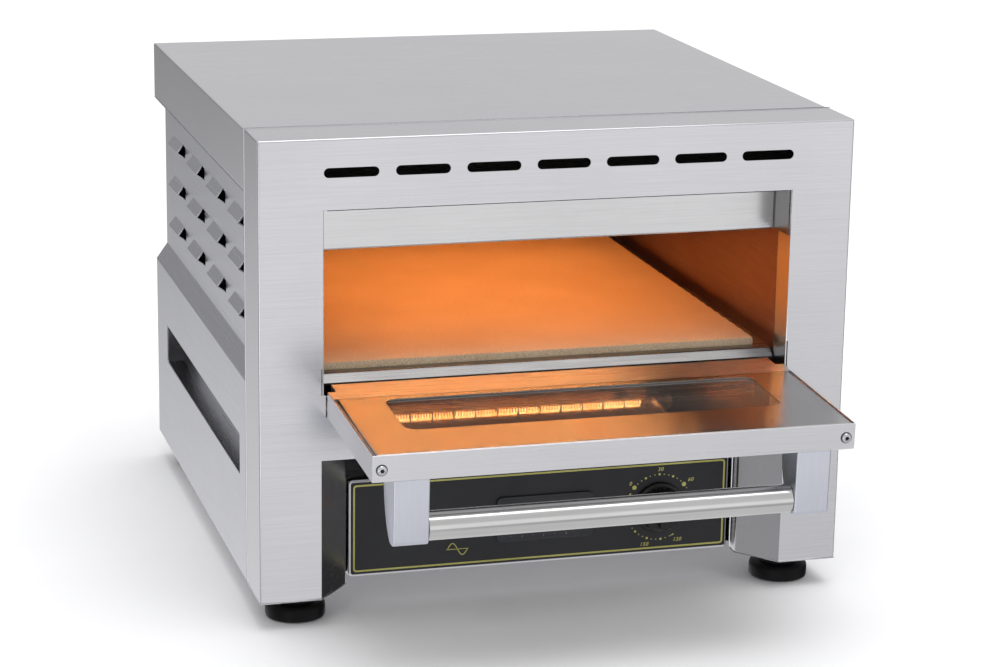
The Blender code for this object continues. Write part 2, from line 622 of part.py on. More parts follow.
def build_heaters():
    """Quartz tubes under the roof in notched end brackets, sheathed loops under the stone."""
    base = FOOT_HEIGHT
    for i, y in enumerate(TUBE_ROWS, 1):
        tube = rod(f"quartz_tube_{i}", (-TUBE_HALF, 0, 0), "X", 2 * TUBE_HALF, TUBE_RADIUS, "quartz",
                   origin=at(0, y, TUBE_Z), segments=16)
        bore = rod(f"quartz_bore_{i}", (-TUBE_HALF - 0.005, 0, 0), "X", 2 * TUBE_HALF + 0.010,
                   TUBE_RADIUS - 0.0012, None, origin=at(0, y, TUBE_Z), segments=16, cutter=True)
        cut(tube, bore)
    low, high = TUBE_Z - 0.011, CHAMBER_ROOF - SHEET - GAP
    for sign, side in ((-1, "left"), (1, "right")):
        outline = [(TUBE_ROWS[0] - 0.025, high)]
        for y in TUBE_ROWS:
            slot = TUBE_RADIUS + 0.0006
            outline += [(y - slot - 0.004, low), (y - slot, low + 0.004)]
            outline += arc((y, TUBE_Z), slot, 180, 0, 4)
            outline += [(y + slot, low + 0.004), (y + slot + 0.004, low)]
        outline.append((TUBE_ROWS[-1] + 0.025, high))
        outline = [(FACE_Y + y, base + z) for y, z in outline]
        x0, x1 = sorted((sign * 0.1800, sign * (0.1800 + 0.0020)))
        prism(f"tube_bracket_{side}", [outline], "YZ", x0, x1, "polished_steel")

    for i, (near, far) in enumerate(((0.090, 0.240), (0.290, 0.440)), 1):
        path = [(-0.170, near)] + [(0.170 - 0.075 + x, y) for x, y in
                                   arc((0, (near + far) / 2), (far - near) / 2, -90, 90, 12)]
        path.append((-0.170, far))
        curve = bpy.data.curves.new(f"lower_element_{i}", "CURVE")
        curve.dimensions = "3D"
        curve.bevel_depth = 0.0032
        curve.bevel_resolution = 1
        curve.use_fill_caps = True
        spline = curve.splines.new("POLY")
        spline.points.add(len(path) - 1)
        for point, (x, y) in zip(spline.points, path):
            point.co = (*at(x, y, 0.1725), 1.0)
        curve.materials.append(finish("zinc"))
        PARTS.objects.link(bpy.data.objects.new(f"lower_element_{i}", curve))


def build_insulation():
    """Mineral wool over, around and under the chamber, clear of the casing."""
    base = FOOT_HEIGHT
    back = FACE_Y + CHAMBER_BACK
    inner, outer = CHAMBER_HALF + SHEET + GAP, CHAMBER_HALF + 0.036
    front = FACE_Y + 0.062
    low, high = base + CHAMBER_FLOOR, base + CHAMBER_ROOF
    wrap = [(-outer, front), (-inner, front), (-inner, back + GAP), (inner, back + GAP),
            (inner, front), (outer, front), (outer, back + 0.035), (-outer, back + 0.035)]
    prism("insulation_wrap", [wrap], "XY", low, high, "mineral_wool")
    box("insulation_top", (-outer, front, high + GAP), (outer, back + 0.035, high + 0.045),
        "mineral_wool")
    box("insulation_floor", (-outer, front, low - 0.028), (outer, back + 0.035, low - GAP),
        "mineral_wool")


def build_electrics():
    """Gland in the back plate, terminal block on the base, safety thermostat on the side."""
    base = FOOT_HEIGHT
    back = FACE_Y + DEPTH
    skin = back - SHEET - GAP
    place = (GLAND_X, 0, base + GLAND_Z)
    end = back + GLAND_LENGTH
    gland = [(0, end), (0.0062, end), (0.0085, end - 0.0050), (0.0115, end - 0.0052),
             (0.0115, skin + GAP), (0.0077, skin + GAP), (0.0077, skin - 0.0120), (0, skin - 0.0120)]
    bore = rod("gland_bore", (0, end - 0.0500, 0), "Y", 0.0600, 0.0042, None, origin=place,
               segments=12, cutter=True)
    body = turned("cable_gland", gland, "Y", 16, "black_plastic", origin=place)
    cut(body, bore)
    floor = base + 0.0020 + SHEET + GAP
    y = FACE_Y + 0.440
    box("terminal_block", (0.115, y, floor), (0.185, y + 0.022, floor + 0.020), "pale_plastic")
    box("safety_thermostat", (-0.180, y, floor), (-0.140, y + 0.030, floor + 0.034), "zinc")


# ---------------------------------------------------------------- door
def window(margin=0.0, radius=WINDOW_RADIUS, steps=3):
    return rounded((-WINDOW_HALF - margin, WINDOW_LOW - margin),
                   (WINDOW_HALF + margin, WINDOW_HIGH + margin), radius, steps)


def build_door_pan(pivot):
    """Outer skin with side, top and tail walls, and the strip folded in along the tail."""
    skin = [(-DOOR_HALF, DOOR_TAIL), (DOOR_HALF, DOOR_TAIL), (DOOR_HALF, DOOR_TOP),
            (-DOOR_HALF, DOOR_TOP)]
    pan = prism("door_pan", [skin, window()], "XZ", DOOR_OUT, DOOR_OUT + SHEET, "brushed_steel",
                parent=pivot)
    lap = DOOR_OUT + SHEET / 2
    walls = [((-DOOR_HALF, lap, DOOR_TAIL), (-DOOR_HALF + SHEET, DOOR_IN, DOOR_TOP)),
             ((DOOR_HALF - SHEET, lap, DOOR_TAIL), (DOOR_HALF, DOOR_IN, DOOR_TOP))]
    unite(pan, boxes("pan_side_walls", walls, parent=pivot))
    within = DOOR_HALF - SHEET / 2
    ends = [((-within, lap, DOOR_TOP - SHEET), (within, DOOR_IN, DOOR_TOP)),
            ((-within, lap, DOOR_TAIL), (within, DOOR_IN, DOOR_TAIL + SHEET))]
    unite(pan, boxes("pan_end_walls", ends, parent=pivot))
    strip = [((-within, DOOR_IN - SHEET, DOOR_TAIL + SHEET / 2), (within, DOOR_IN, STRIP_TOP))]
    unite(pan, boxes("pan_strip", strip, parent=pivot))
    inside = DOOR_HALF - 0.0075
    notches = [((-DOOR_HALF - 0.001, 0.0080, DOOR_TAIL - 0.001), (-inside, 0.0200, 0.0070)),
               ((inside, 0.0080, DOOR_TAIL - 0.001), (DOOR_HALF + 0.001, 0.0200, 0.0070))]
    cut(pan, boxes("pan_tail_notches", notches, parent=pivot))
    step = [((-DOOR_HALF - 0.001, DOOR_OUT - 0.001, DOOR_TAIL - 0.001),
             (DOOR_HALF + 0.001, TAIL_STEP_Y, TAIL_STEP_Z))]
    cut(pan, boxes("pan_tail_step", step, parent=pivot))
    bm = bmesh.new()
    add_rod(bm, (-DOOR_HALF - 0.002, 0, 0), "X", 0.006, PIN_RADIUS + GAP, segments=12)
    add_rod(bm, (DOOR_HALF - 0.004, 0, 0), "X", 0.006, PIN_RADIUS + GAP, segments=12)
    for x in (-DOOR_SCREW_X, DOOR_SCREW_X):
        add_rod(bm, (x, DOOR_SCREW_Y, DOOR_TOP - 0.004), "Z", 0.008, 0.0019, segments=12)
    cut(pan, add_object("pan_holes", mesh_from(bm, "pan_holes"), (0, 0, 0), None, pivot, cutter=True))


def build_door_inner(pivot):
    """Inner panel with its window and its edges folded back, and the glazing behind it."""
    half = DOOR_HALF - SHEET - 0.0028
    low, high = STRIP_TOP + 0.0011, DOOR_TOP - SHEET - 0.0009
    plate = [(-half, low), (half, low), (half, high), (-half, high)]
    panel = prism("door_inner_panel", [plate, window()], "XZ", DOOR_IN - SHEET, DOOR_IN,
                  "polished_steel", parent=pivot)
    fold = 0.0020
    edge = DOOR_IN - SHEET / 2
    end = high - SHEET / 2
    sides = [((-half, fold, low + 0.0010), (-half + SHEET, edge, end)),
             ((half - SHEET, fold, low + 0.0010), (half, edge, end))]
    unite(panel, boxes("inner_side_folds", sides, parent=pivot))
    top = [((-half + 0.0004, fold - 0.0005, high - SHEET), (half - 0.0004, edge, high))]
    unite(panel, boxes("inner_top_fold", top, parent=pivot))
    bm = bmesh.new()
    for x in (-DOOR_SCREW_X, DOOR_SCREW_X):
        add_rod(bm, (x, DOOR_SCREW_Y, high - 0.004), "Z", 0.008, 0.0019, segments=12)
    cut(panel, add_object("inner_screw_holes", mesh_from(bm, "inner_screw_holes"), (0, 0, 0), None,
                          pivot, cutter=True))

    m = GLASS_MARGIN
    pane = rounded((-WINDOW_HALF - m, WINDOW_LOW - m + 0.0005),
                   (WINDOW_HALF + m, WINDOW_HIGH + m), 0.004, 2)
    outer = DOOR_OUT + SHEET + GAP
    inner = DOOR_IN - SHEET - GAP - GLASS
    prism("door_outer_glass", [pane], "XZ", outer, outer + GLASS, "clear_glass", parent=pivot)
    prism("door_inner_glass", [pane], "XZ", inner, inner + GLASS, "clear_glass", parent=pivot)
    prism("glass_frame", [pane, window(0.0, 0.006, 2)], "XZ", outer + GLASS + GAP, inner - GAP,
          "black_rubber", parent=pivot)


def build_door_fittings(pivot):
    """Handle brackets and tube on the outer face, and two screws in the free edge."""
    root = DOOR_OUT - GAP
    reach_axis = BRACKET_REACH * 1.048
    profile = [(root, BRACKET_TOP), (root, BRACKET_TOP - BRACKET_DEPTH)]
    steps = 8
    last = math.acos(BRACKET_REACH / reach_axis)
    for i in range(1, steps + 1):
        turn = math.radians(90) + (last - math.radians(90)) * i / steps
        profile.append((root - reach_axis * math.cos(turn),
                        BRACKET_TOP - BRACKET_DEPTH * math.sin(turn)))
    tip = root - BRACKET_REACH
    profile += arc((tip + 0.005, BRACKET_TOP - 0.005), 0.005, 180, 90, 3)
    for sign, side in ((-1, "left"), (1, "right")):
        x0, x1 = sorted((sign * BRACKET_IN, sign * BRACKET_OUT))
        prism(f"handle_bracket_{side}", [profile], "YZ", x0, x1, "satin_aluminium", parent=pivot)
    length = 2 * (BRACKET_IN - GAP)
    tube = rod("handle_tube", (-length / 2, 0, 0), "X", length, HANDLE_RADIUS, "tube_steel",
               parent=pivot, origin=(0, HANDLE_Y, HANDLE_Z), segments=24)
    bore = rod("handle_bore", (-length / 2 - 0.01, 0, 0), "X", length + 0.02, HANDLE_RADIUS - 0.0015,
               None, parent=pivot, origin=(0, HANDLE_Y, HANDLE_Z), segments=24, cutter=True)
    cut(tube, bore)
    seat = DOOR_TOP + GAP
    rise = SCREW_RISE - GAP
    screw = [(0, seat + rise), (SCREW_HEAD * 0.55, seat + rise * 0.88),
             (SCREW_HEAD * 0.88, seat + rise * 0.5), (SCREW_HEAD, seat), (0.0016, seat),
             (0.0016, DOOR_TOP - 0.0080), (0, DOOR_TOP - 0.0080)]
    for side, x in (("left", -DOOR_SCREW_X), ("right", DOOR_SCREW_X)):
        turned(f"door_screw_{side}", screw, "Z", 16, "zinc", parent=pivot,
               origin=(x, DOOR_SCREW_Y, 0))


def build_hinges():
    """A block behind each side of the mouth carries the pin that the door turns on."""
    for sign, side in ((-1, "left"), (1, "right")):
        x0, x1 = sorted((sign * (MOUTH_HALF + SHEET + GAP), sign * 0.2300))
        block = box(f"hinge_block_{side}", (x0, FACE_Y + SHEET + GAP, FOOT_HEIGHT + HINGE_Z - 0.010),
                    (x1, FACE_Y + 0.0140, FOOT_HEIGHT + HINGE_Z + 0.010), "zinc")
        start = at(min(sign * 0.2050, sign * 0.2290), HINGE_Y, HINGE_Z)
        hole = rod(f"{side}_pin_socket", start, "X", 0.0240 + GAP, PIN_RADIUS + GAP, None,
                   segments=12, cutter=True)
        if sign < 0:
            hole.location.x -= GAP
        cut(block, hole)
        rod(f"hinge_pin_{side}", start, "X", 0.0240, PIN_RADIUS, "zinc", segments=12)


def build_door():
    pivot = bpy.data.objects.new("door_pivot", None)
    pivot.location = at(0, HINGE_Y, HINGE_Z)
    pivot.rotation_euler = (OPEN_ANGLE, 0, 0)
    PARTS.objects.link(pivot)
    build_door_pan(pivot)
    build_door_inner(pivot)
    build_door_fittings(pivot)


build_fascia()
build_top_cover()
build_side_panel(-1, "left_side_panel")
build_side_panel(1, "right_side_panel")
build_rear_panel()
build_base_plate()
build_feet()
build_controls()
build_chamber()
build_stone()
build_heaters()
build_insulation()
build_electrics()
build_hinges()
build_door()
bpy.context.view_layer.update()
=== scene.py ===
"""The looks of the countertop pizza oven: finer shells, fittings, glowing heaters and materials."""

import json
import math

import bmesh
import bpy
from mathutils import Matrix, Vector


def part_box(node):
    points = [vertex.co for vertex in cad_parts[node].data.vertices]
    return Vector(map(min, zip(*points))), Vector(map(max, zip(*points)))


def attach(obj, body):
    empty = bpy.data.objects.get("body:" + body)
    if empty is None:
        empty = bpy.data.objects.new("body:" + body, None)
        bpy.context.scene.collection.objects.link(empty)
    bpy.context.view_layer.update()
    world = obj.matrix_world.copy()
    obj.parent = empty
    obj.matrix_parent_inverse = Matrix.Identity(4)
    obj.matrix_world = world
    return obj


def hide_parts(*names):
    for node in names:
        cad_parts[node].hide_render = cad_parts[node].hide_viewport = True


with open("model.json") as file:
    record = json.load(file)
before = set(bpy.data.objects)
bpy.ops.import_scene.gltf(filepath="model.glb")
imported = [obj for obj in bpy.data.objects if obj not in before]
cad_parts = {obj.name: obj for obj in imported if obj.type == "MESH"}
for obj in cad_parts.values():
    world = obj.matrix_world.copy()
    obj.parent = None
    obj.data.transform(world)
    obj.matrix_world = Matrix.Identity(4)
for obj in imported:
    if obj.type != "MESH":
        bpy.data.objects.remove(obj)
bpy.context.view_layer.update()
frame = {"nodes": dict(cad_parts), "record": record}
NODES = frame["nodes"]
PIECES = bpy.data.collections.new("pieces")
bpy.context.scene.collection.children.link(PIECES)

# Places that the CAD gives: the fascia's face, the casing's bottom edge and the two axes.
FACE_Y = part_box("front_fascia")[0].y
BASE_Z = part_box("front_fascia")[0].z
JOINTS = {joint["name"]: joint for joint in frame["record"]["behaviour"]["joints"]}
HINGE = Vector(JOINTS["door_hinge"]["pos_m"])
DIAL = Vector(JOINTS["timer_turn"]["pos_m"])
OPEN_ANGLE = math.radians(92.5)
DOOR = Matrix.Translation(HINGE) @ Matrix.Rotation(OPEN_ANGLE, 4, "X")

# Sheet metal: its thickness, the least width and turn of a fold, and how far cut rims are eased.
SHEET = 0.0012
FOLD_WIDTH, FOLD_TURN = 0.0021, math.radians(18)
RIM = 0.00018
TIGHT_FOLD = 0.0005

# The chamber's mouth and its baffle, from the fascia's face and the casing's bottom edge.
MOUTH_HALF, MOUTH_LOW, MOUTH_HIGH = 0.2130, 0.1580, 0.3500
BAFFLE_LOW, BAFFLE_DEPTH = 0.3075, 0.0400
BAFFLE_SCREWS_X = (-0.1815, 0.1875)

# The heaters' coils and the discs that hold them, along each tube.
COIL_HALF, COIL_RADIUS, COIL_WIRE, COIL_TURNS = 0.172, 0.0026, 0.00085, 118
SPACER_PITCH = 0.0220

# The timer's scale: its ring, and the step between two dots.
SCALE_RADIUS, SCALE_START, SCALE_STEP = 0.0315, -50, 8.33

# Turns for shapes made along local Z. ACROSS takes (u, v, w) to (x = w, y = u, z = v).
TO_Y = Matrix.Rotation(math.radians(-90), 4, "X")
TO_X = Matrix.Rotation(math.radians(90), 4, "Y")
OVER = Matrix.Rotation(math.pi, 4, "X")
FACING = Matrix.Rotation(math.radians(90), 4, "X")
ACROSS = Matrix(((0, 0, 1, 0), (1, 0, 0, 0), (0, 1, 0, 0), (0, 0, 0, 1)))

# The thickness of printed marks.
INK = 0.00008

# The studio's tent: direction, the cosines where a patch starts and is full, and what it adds.
TENT_BASE = 0.78
TENT = (
    ((0.10, -0.20, 0.97), 0.90, 0.975, 2.40),
    ((-0.60, -0.76, -0.24), 0.955, 0.99, 1.30),
    ((0.36, -0.92, -0.18), 0.88, 0.99, 0.36),
    ((0.37, -0.84, -0.42), 0.975, 0.996, -0.50),
    ((-0.97, -0.10, -0.20), 0.85, 0.97, -0.40),
    ((-0.27, 0.96, -0.08), 0.90, 0.985, -0.47),
    ((-0.25, 0.88, -0.42), 0.955, 0.992, 0.45),
    ((0.22, 0.91, 0.36), 0.93, 0.995, -0.09),
    ((0.90, 0.34, -0.27), 0.84, 0.96, -0.76),
)

# The camera, from the middle of the fascia's bottom edge.
CAMERA_YAW, CAMERA_PITCH, CAMERA_ROLL = (math.radians(a) for a in (16.184, 14.750, 0.924))
CAMERA_PLACE = (-0.7146, -2.2709, 0.8560)
SENSOR_WIDTH, FOCAL_LENGTH = 36, 36 * 2.7972


# ---- node materials
def new_material(name):
    made = bpy.data.materials.new(name)
    made.use_nodes = True
    return made, made.node_tree, made.node_tree.nodes["Principled BSDF"]


def node(tree, kind, **settings):
    made = tree.nodes.new(kind)
    for key, value in settings.items():
        setattr(made, key, value)
    return made


def textured(tree, scale, detail=3.0, kind="ShaderNodeTexNoise", **extra):
    """The value of a noise over the object's own coordinates, with a per-axis number of features a metre."""
    place = node(tree, "ShaderNodeTexCoord")
    mapping = node(tree, "ShaderNodeMapping")
    mapping.inputs["Scale"].default_value = scale
    tree.links.new(place.outputs["Object"], mapping.inputs["Vector"])
    noise = node(tree, kind)
    noise.inputs["Scale"].default_value = 1.0
    noise.inputs["Detail"].default_value = detail
    for key, value in extra.items():
        noise.inputs[key].default_value = value
    tree.links.new(mapping.outputs["Vector"], noise.inputs["Vector"])
    return noise.outputs[0]


def spread(tree, source, low, high):
    """Maps the middle of a noise's range onto a narrow range of values."""
    ranged = node(tree, "ShaderNodeMapRange")
    ranged.inputs["From Min"].default_value = 0.3
    ranged.inputs["From Max"].default_value = 0.7
    ranged.inputs["To Min"].default_value = low
    ranged.inputs["To Max"].default_value = high
    tree.links.new(source, ranged.inputs["Value"])
    return ranged.outputs["Result"]


def two_colours(tree, source, first, second, start=0.35, end=0.65):
    """A ramp from one colour to another over a noise."""
    ramp = node(tree, "ShaderNodeValToRGB")
    ramp.color_ramp.elements[0].position = start
    ramp.color_ramp.elements[1].position = end
    ramp.color_ramp.elements[0].color = (*first, 1)
    ramp.color_ramp.elements[1].color = (*second, 1)
    tree.links.new(source, ramp.inputs["Fac"])
    return ramp.outputs["Color"]


def bump(tree, shader, *layers):
    """Bump layers of (height output, strength, depth in metres), one on another."""
    normal = None
    for height, strength, depth in layers:
        made = node(tree, "ShaderNodeBump")
        made.inputs["Strength"].default_value = strength
        made.inputs["Distance"].default_value = depth
        tree.links.new(height, made.inputs["Height"])
        if normal:
            tree.links.new(normal, made.inputs["Normal"])
        normal = made.outputs["Normal"]
    tree.links.new(normal, shader.inputs["Normal"])


def steel(name, dark, light, rough, grain, line, wave=0.0, ripples=11.0):
    """Brushed sheet: fine lines along the grain, cloudy tone, slight waviness of the sheet."""
    made, tree, shader = new_material(name)
    lines = textured(tree, [9.0 if axis == grain else 1700.0 for axis in "XYZ"], 4.0)
    streaks = textured(tree, [14.0 if axis == grain else 700.0 for axis in "XYZ"], 3.0)
    clouds = textured(tree, (7.0, 7.0, 7.0), 4.0, Roughness=0.6)
    mixed = node(tree, "ShaderNodeMath", operation="MULTIPLY_ADD")
    mixed.inputs[1].default_value = 0.45
    tree.links.new(streaks, mixed.inputs[0])
    half = node(tree, "ShaderNodeMath", operation="MULTIPLY")
    half.inputs[1].default_value = 0.55
    tree.links.new(clouds, half.inputs[0])
    tree.links.new(half.outputs["Value"], mixed.inputs[2])
    tree.links.new(two_colours(tree, mixed.outputs["Value"], dark, light, 0.38, 0.62),
                   shader.inputs["Base Color"])
    tree.links.new(spread(tree, lines, rough * 0.86, rough * 1.16),
                   shader.inputs["Roughness"])
    shader.inputs["Metallic"].default_value = 1.0
    layers = [(lines, line, 0.00004)]
    if wave:
        broad = textured(tree, (ripples, ripples * 0.4, ripples * 0.4), 1.0)
        layers.append((broad, 1.0, wave))
    bump(tree, shader, *layers)
    return made


def moulded(name, dark, light, rough, grain, depth, specular=0.5):
    """Plastic, rubber or paint with a fine moulded grain and a slightly uneven tone."""
    made, tree, shader = new_material(name)
    fine = textured(tree, (grain, grain, grain), 3.0)
    clouds = textured(tree, (25.0, 25.0, 25.0), 4.0)
    tree.links.new(two_colours(tree, clouds, dark, light), shader.inputs["Base Color"])
    tree.links.new(spread(tree, fine, rough * 0.85, rough * 1.15),
                   shader.inputs["Roughness"])
    shader.inputs["Specular IOR Level"].default_value = specular
    bump(tree, shader, (fine, 0.4, depth))
    return made


def stone_material():
    """Pressed stone: sandy grains with scattered dark specks."""
    made, tree, shader = new_material("fire_stone")
    grit = textured(tree, (900, 900, 900), 4.0, Roughness=0.75)
    cells = textured(tree, (620, 620, 620), kind="ShaderNodeTexVoronoi")
    clouds = textured(tree, (14, 14, 14), 4.0)
    base = two_colours(tree, clouds, (0.54, 0.39, 0.25), (0.64, 0.48, 0.32))
    grains = two_colours(tree, grit, (0.20, 0.12, 0.06), (0.86, 0.72, 0.52), 0.36, 0.62)
    specks = two_colours(tree, cells, (0.10, 0.06, 0.03), (1.0, 1.0, 1.0),
                         0.06, 0.16)
    mix = node(tree, "ShaderNodeMix", data_type="RGBA")
    mix.inputs["Factor"].default_value = 0.50
    tree.links.new(base, mix.inputs[6])
    tree.links.new(grains, mix.inputs[7])
    dark = node(tree, "ShaderNodeMix", data_type="RGBA", blend_type="MULTIPLY")
    dark.inputs["Factor"].default_value = 0.55
    tree.links.new(mix.outputs[2], dark.inputs[6])
    tree.links.new(specks, dark.inputs[7])
    tree.links.new(dark.outputs[2], shader.inputs["Base Color"])
    tree.links.new(spread(tree, grit, 0.80, 0.98), shader.inputs["Roughness"])
    shader.inputs["Specular IOR Level"].default_value = 0.2
    bump(tree, shader, (cells, 0.4, 0.0003), (grit, 0.8, 0.0004))
    return made


def quartz_material():
    """Quartz tube: mostly see-through and tinted, with its own smears in the gloss."""
    made, tree, shader = new_material("quartz_glass")
    smears = textured(tree, (9, 30, 30), 5.0, Roughness=0.7)
    tint = (0.95, 0.62, 0.30)
    tree.links.new(two_colours(tree, smears, tint, [c * 0.92 for c in tint]),
                   shader.inputs["Base Color"])
    tree.links.new(spread(tree, smears, 0.05, 0.095), shader.inputs["Roughness"])
    shader.inputs["IOR"].default_value = 1.52
    shader.inputs["Specular IOR Level"].default_value = 1.0
    shader.inputs["Alpha"].default_value = 0.16
    return made


def pane_material():
    """Flat glass: clear straight on and mirror-like at a slant, faintly smoked by baking."""
    made, tree, shader = new_material("door_pane")
    haze = textured(tree, (12, 12, 12), 5.0, Roughness=0.7)
    tree.links.new(two_colours(tree, haze, (0.70, 0.64, 0.58), (0.78, 0.73, 0.68)),
                   shader.inputs["Base Color"])
    tree.links.new(spread(tree, haze, 0.35, 0.6), shader.inputs["Roughness"])
    clear = node(tree, "ShaderNodeBsdfTransparent")
    clear.inputs["Color"].default_value = (0.90, 0.90, 0.89, 1)
    mirror = node(tree, "ShaderNodeBsdfGlossy")
    mirror.inputs["Color"].default_value = (0.95, 0.93, 0.91, 1)
    tree.links.new(spread(tree, haze, 0.012, 0.035), mirror.inputs["Roughness"])
    soiled = node(tree, "ShaderNodeMixShader")
    tree.links.new(spread(tree, haze, 0.04, 0.09), soiled.inputs["Fac"])
    tree.links.new(clear.outputs["BSDF"], soiled.inputs[1])
    tree.links.new(shader.outputs["BSDF"], soiled.inputs[2])
    slant = node(tree, "ShaderNodeFresnel")
    slant.inputs["IOR"].default_value = 2.1
    both = node(tree, "ShaderNodeMixShader")
    tree.links.new(slant.outputs["Fac"], both.inputs["Fac"])
    tree.links.new(soiled.outputs["Shader"], both.inputs[1])
    tree.links.new(mirror.outputs["BSDF"], both.inputs[2])
    tree.links.new(both.outputs["Shader"], tree.nodes["Material Output"].inputs["Surface"])
    return made


def filament_material():
    """Wire hot enough to shine, brighter in some places than in others."""
    made, tree, shader = new_material("filament")
    uneven = textured(tree, (240, 40, 40), 2.0)
    colour = two_colours(tree, uneven, (1.0, 0.42, 0.10), (1.0, 0.70, 0.30))
    tree.links.new(colour, shader.inputs["Base Color"])
    tree.links.new(colour, shader.inputs["Emission Color"])
    shader.inputs["Emission Strength"].default_value = 6.2
    shader.inputs["Roughness"].default_value = 0.6
    made.cycles.emission_sampling = "NONE"
    return made


def shaded_wool_material():
    """Mineral wool: tangled strands, its dark tone painted shade so that the slots in front of it look dark.
    """
    made, tree, shader = new_material("mineral_wool")
    strands = textured(tree, (90, 900, 900), 5.0, Roughness=0.75, Distortion=1.5)
    tree.links.new(two_colours(tree, strands, (0.030, 0.028, 0.026), (0.10, 0.095, 0.085)),
                   shader.inputs["Base Color"])
    tree.links.new(spread(tree, strands, 0.88, 1.0), shader.inputs["Roughness"])
    bump(tree, shader, (strands, 1.0, 0.0012))
    return made


# Sheets: dark and light tone, roughness, grain, line depth, then waviness and ripples a metre.
STEELS = {
    "case_steel": ((0.600, 0.598, 0.618), (0.635, 0.633, 0.653), 0.24, "X", 0.35),
    "side_steel": ((0.575, 0.578, 0.612), (0.610, 0.613, 0.648), 0.24, "Y", 0.30),
    "door_steel": ((0.705, 0.703, 0.723), (0.740, 0.738, 0.758), 0.30, "X", 0.35),
    "plate_steel": ((0.43, 0.425, 0.42), (0.49, 0.485, 0.48), 0.22, "Y", 0.25, 0.0003, 30.0),
    "lintel_steel": ((0.60, 0.60, 0.60), (0.65, 0.65, 0.65), 0.24, "X", 0.30, 0.0008),
    "chamber_steel": ((0.25, 0.162, 0.165), (0.33, 0.225, 0.22), 0.34, "Y", 0.30, 0.0010),
    # mouth_shade_steel: a darker copy of the steel for the sill, the stone rails and the baffle's end
    # angles; its darkness is painted shade.
    "mouth_shade_steel": ((0.19, 0.185, 0.18), (0.26, 0.255, 0.25), 0.27, "X", 0.30, 0.0004),
    "tube_steel": ((0.57, 0.565, 0.555), (0.63, 0.625, 0.615), 0.13, "X", 0.30),
    "bracket_metal": ((0.62, 0.64, 0.70), (0.66, 0.68, 0.74), 0.42, "Z", 0.6),
    "screw_metal": ((0.50, 0.51, 0.53), (0.66, 0.67, 0.69), 0.20, "X", 0.2),
    "sheath_metal": ((0.22, 0.19, 0.17), (0.36, 0.32, 0.28), 0.48, "X", 0.5),
}

# Mouldings: dark and light tone, roughness, grains a metre, their depth and the gloss.
MOULDINGS = {
    "overlay": ((0.014, 0.0145, 0.017), (0.019, 0.0195, 0.022), 0.50, 1600, 0.00002, 0.35),
    "badge": ((0.019, 0.020, 0.025), (0.026, 0.027, 0.033), 0.45, 1600, 0.00002, 0.4),
    "ink": ((0.48, 0.45, 0.10), (0.58, 0.55, 0.16), 0.45, 1200, 0.00001),
    "pale_ink": ((0.20, 0.20, 0.20), (0.30, 0.30, 0.30), 0.5, 1200, 0.00001),
    "knob": ((0.004, 0.004, 0.0045), (0.009, 0.009, 0.010), 0.38, 1400, 0.00003, 0.35),
    "rubber": ((0.0015, 0.0015, 0.002), (0.004, 0.004, 0.005), 0.45, 700, 0.00006, 0.12),
    # painted_shade: near-black, used only as painted shade and painted shadow: deep in the door screws'
    # recesses, round their heads and in the gap under the mouth's top return.
    "painted_shade": ((0.010, 0.010, 0.011), (0.022, 0.022, 0.024), 0.60, 900, 0.00002, 0.2),
    "ceramic": ((0.70, 0.66, 0.58), (0.82, 0.79, 0.72), 0.42, 500, 0.00004),
    "pale_plastic": ((0.62, 0.61, 0.57), (0.74, 0.73, 0.69), 0.42, 800, 0.00003),
    "amber": ((0.62, 0.14, 0.02), (0.80, 0.24, 0.03), 0.16, 300, 0.00003),
}

MATERIALS = {name: steel(name, *values) for name, values in STEELS.items()}
MATERIALS |= {name: moulded(name, *values) for name, values in MOULDINGS.items()}
MATERIALS |= {
    "stone": stone_material(),
    "wool": shaded_wool_material(),
    "pane": pane_material(),
    "quartz": quartz_material(),
    "filament": filament_material(),
}


# ---- making pieces
def piece(name, mesh, body, material, *replaced, smooth=40):
    """A finished mesh as a piece that rides on a body and stands for CAD nodes."""
    if smooth:
        mesh.shade_smooth()
        mesh.set_sharp_from_angle(angle=math.radians(smooth))
    mesh.materials.clear()
    mesh.materials.append(MATERIALS[material])
    made = bpy.data.objects.new(name, mesh)
    PIECES.objects.link(made)
    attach(made, body)
    if replaced:
        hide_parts(*replaced)
    return made


def to_mesh(bm, name, place=None):
    """A mesh from a bmesh, placed, with its faces turned outwards."""
    if place:
        bm.transform(place)
    bmesh.ops.recalc_face_normals(bm, faces=bm.faces)
    mesh = bpy.data.meshes.new(name)
    bm.to_mesh(mesh)
    bm.free()
    return mesh


def joined_faces(name):
    """A CAD node's mesh with its split corners welded and its flat triangles joined."""
    bm = bmesh.new()
    bm.from_mesh(NODES[name].data)
    for face in bm.faces:
        face.smooth = False
    bmesh.ops.remove_doubles(bm, verts=bm.verts, dist=0.000005)
    bmesh.ops.dissolve_limit(bm, angle_limit=0.006, verts=bm.verts, edges=bm.edges)
    return bm


def width_beside(face, edge):
    """How far a face reaches from one of its edges."""
    start = edge.verts[0].co
    along = (edge.verts[1].co - start).normalized()
    return max(((v.co - start) - along * (v.co - start).dot(along)).length for v in face.verts)


def fold_edges(bm, convex):
    """Edges where sheet is folded: both faces are wider than the sheet is thick."""
    found = []
    for edge in bm.edges:
        if len(edge.link_faces) != 2 or edge.calc_length() < 0.0008:
            continue
        turn = edge.calc_face_angle_signed(0)
        if abs(turn) < FOLD_TURN or (turn > 0) != convex:
            continue
        if all(width_beside(face, edge) > FOLD_WIDTH for face in edge.link_faces):
            found.append(edge)
    return found


def round_edges(bm, edges, radius, segments, clamp=False):
    """Rounds edges, and shades only the new strips smooth."""
    if edges:
        made = bmesh.ops.bevel(bm, geom=edges, offset=radius, offset_type="OFFSET", segments=segments,
                               profile=0.5, affect="EDGES", clamp_overlap=clamp)
        for face in made["faces"]:
            face.smooth = True


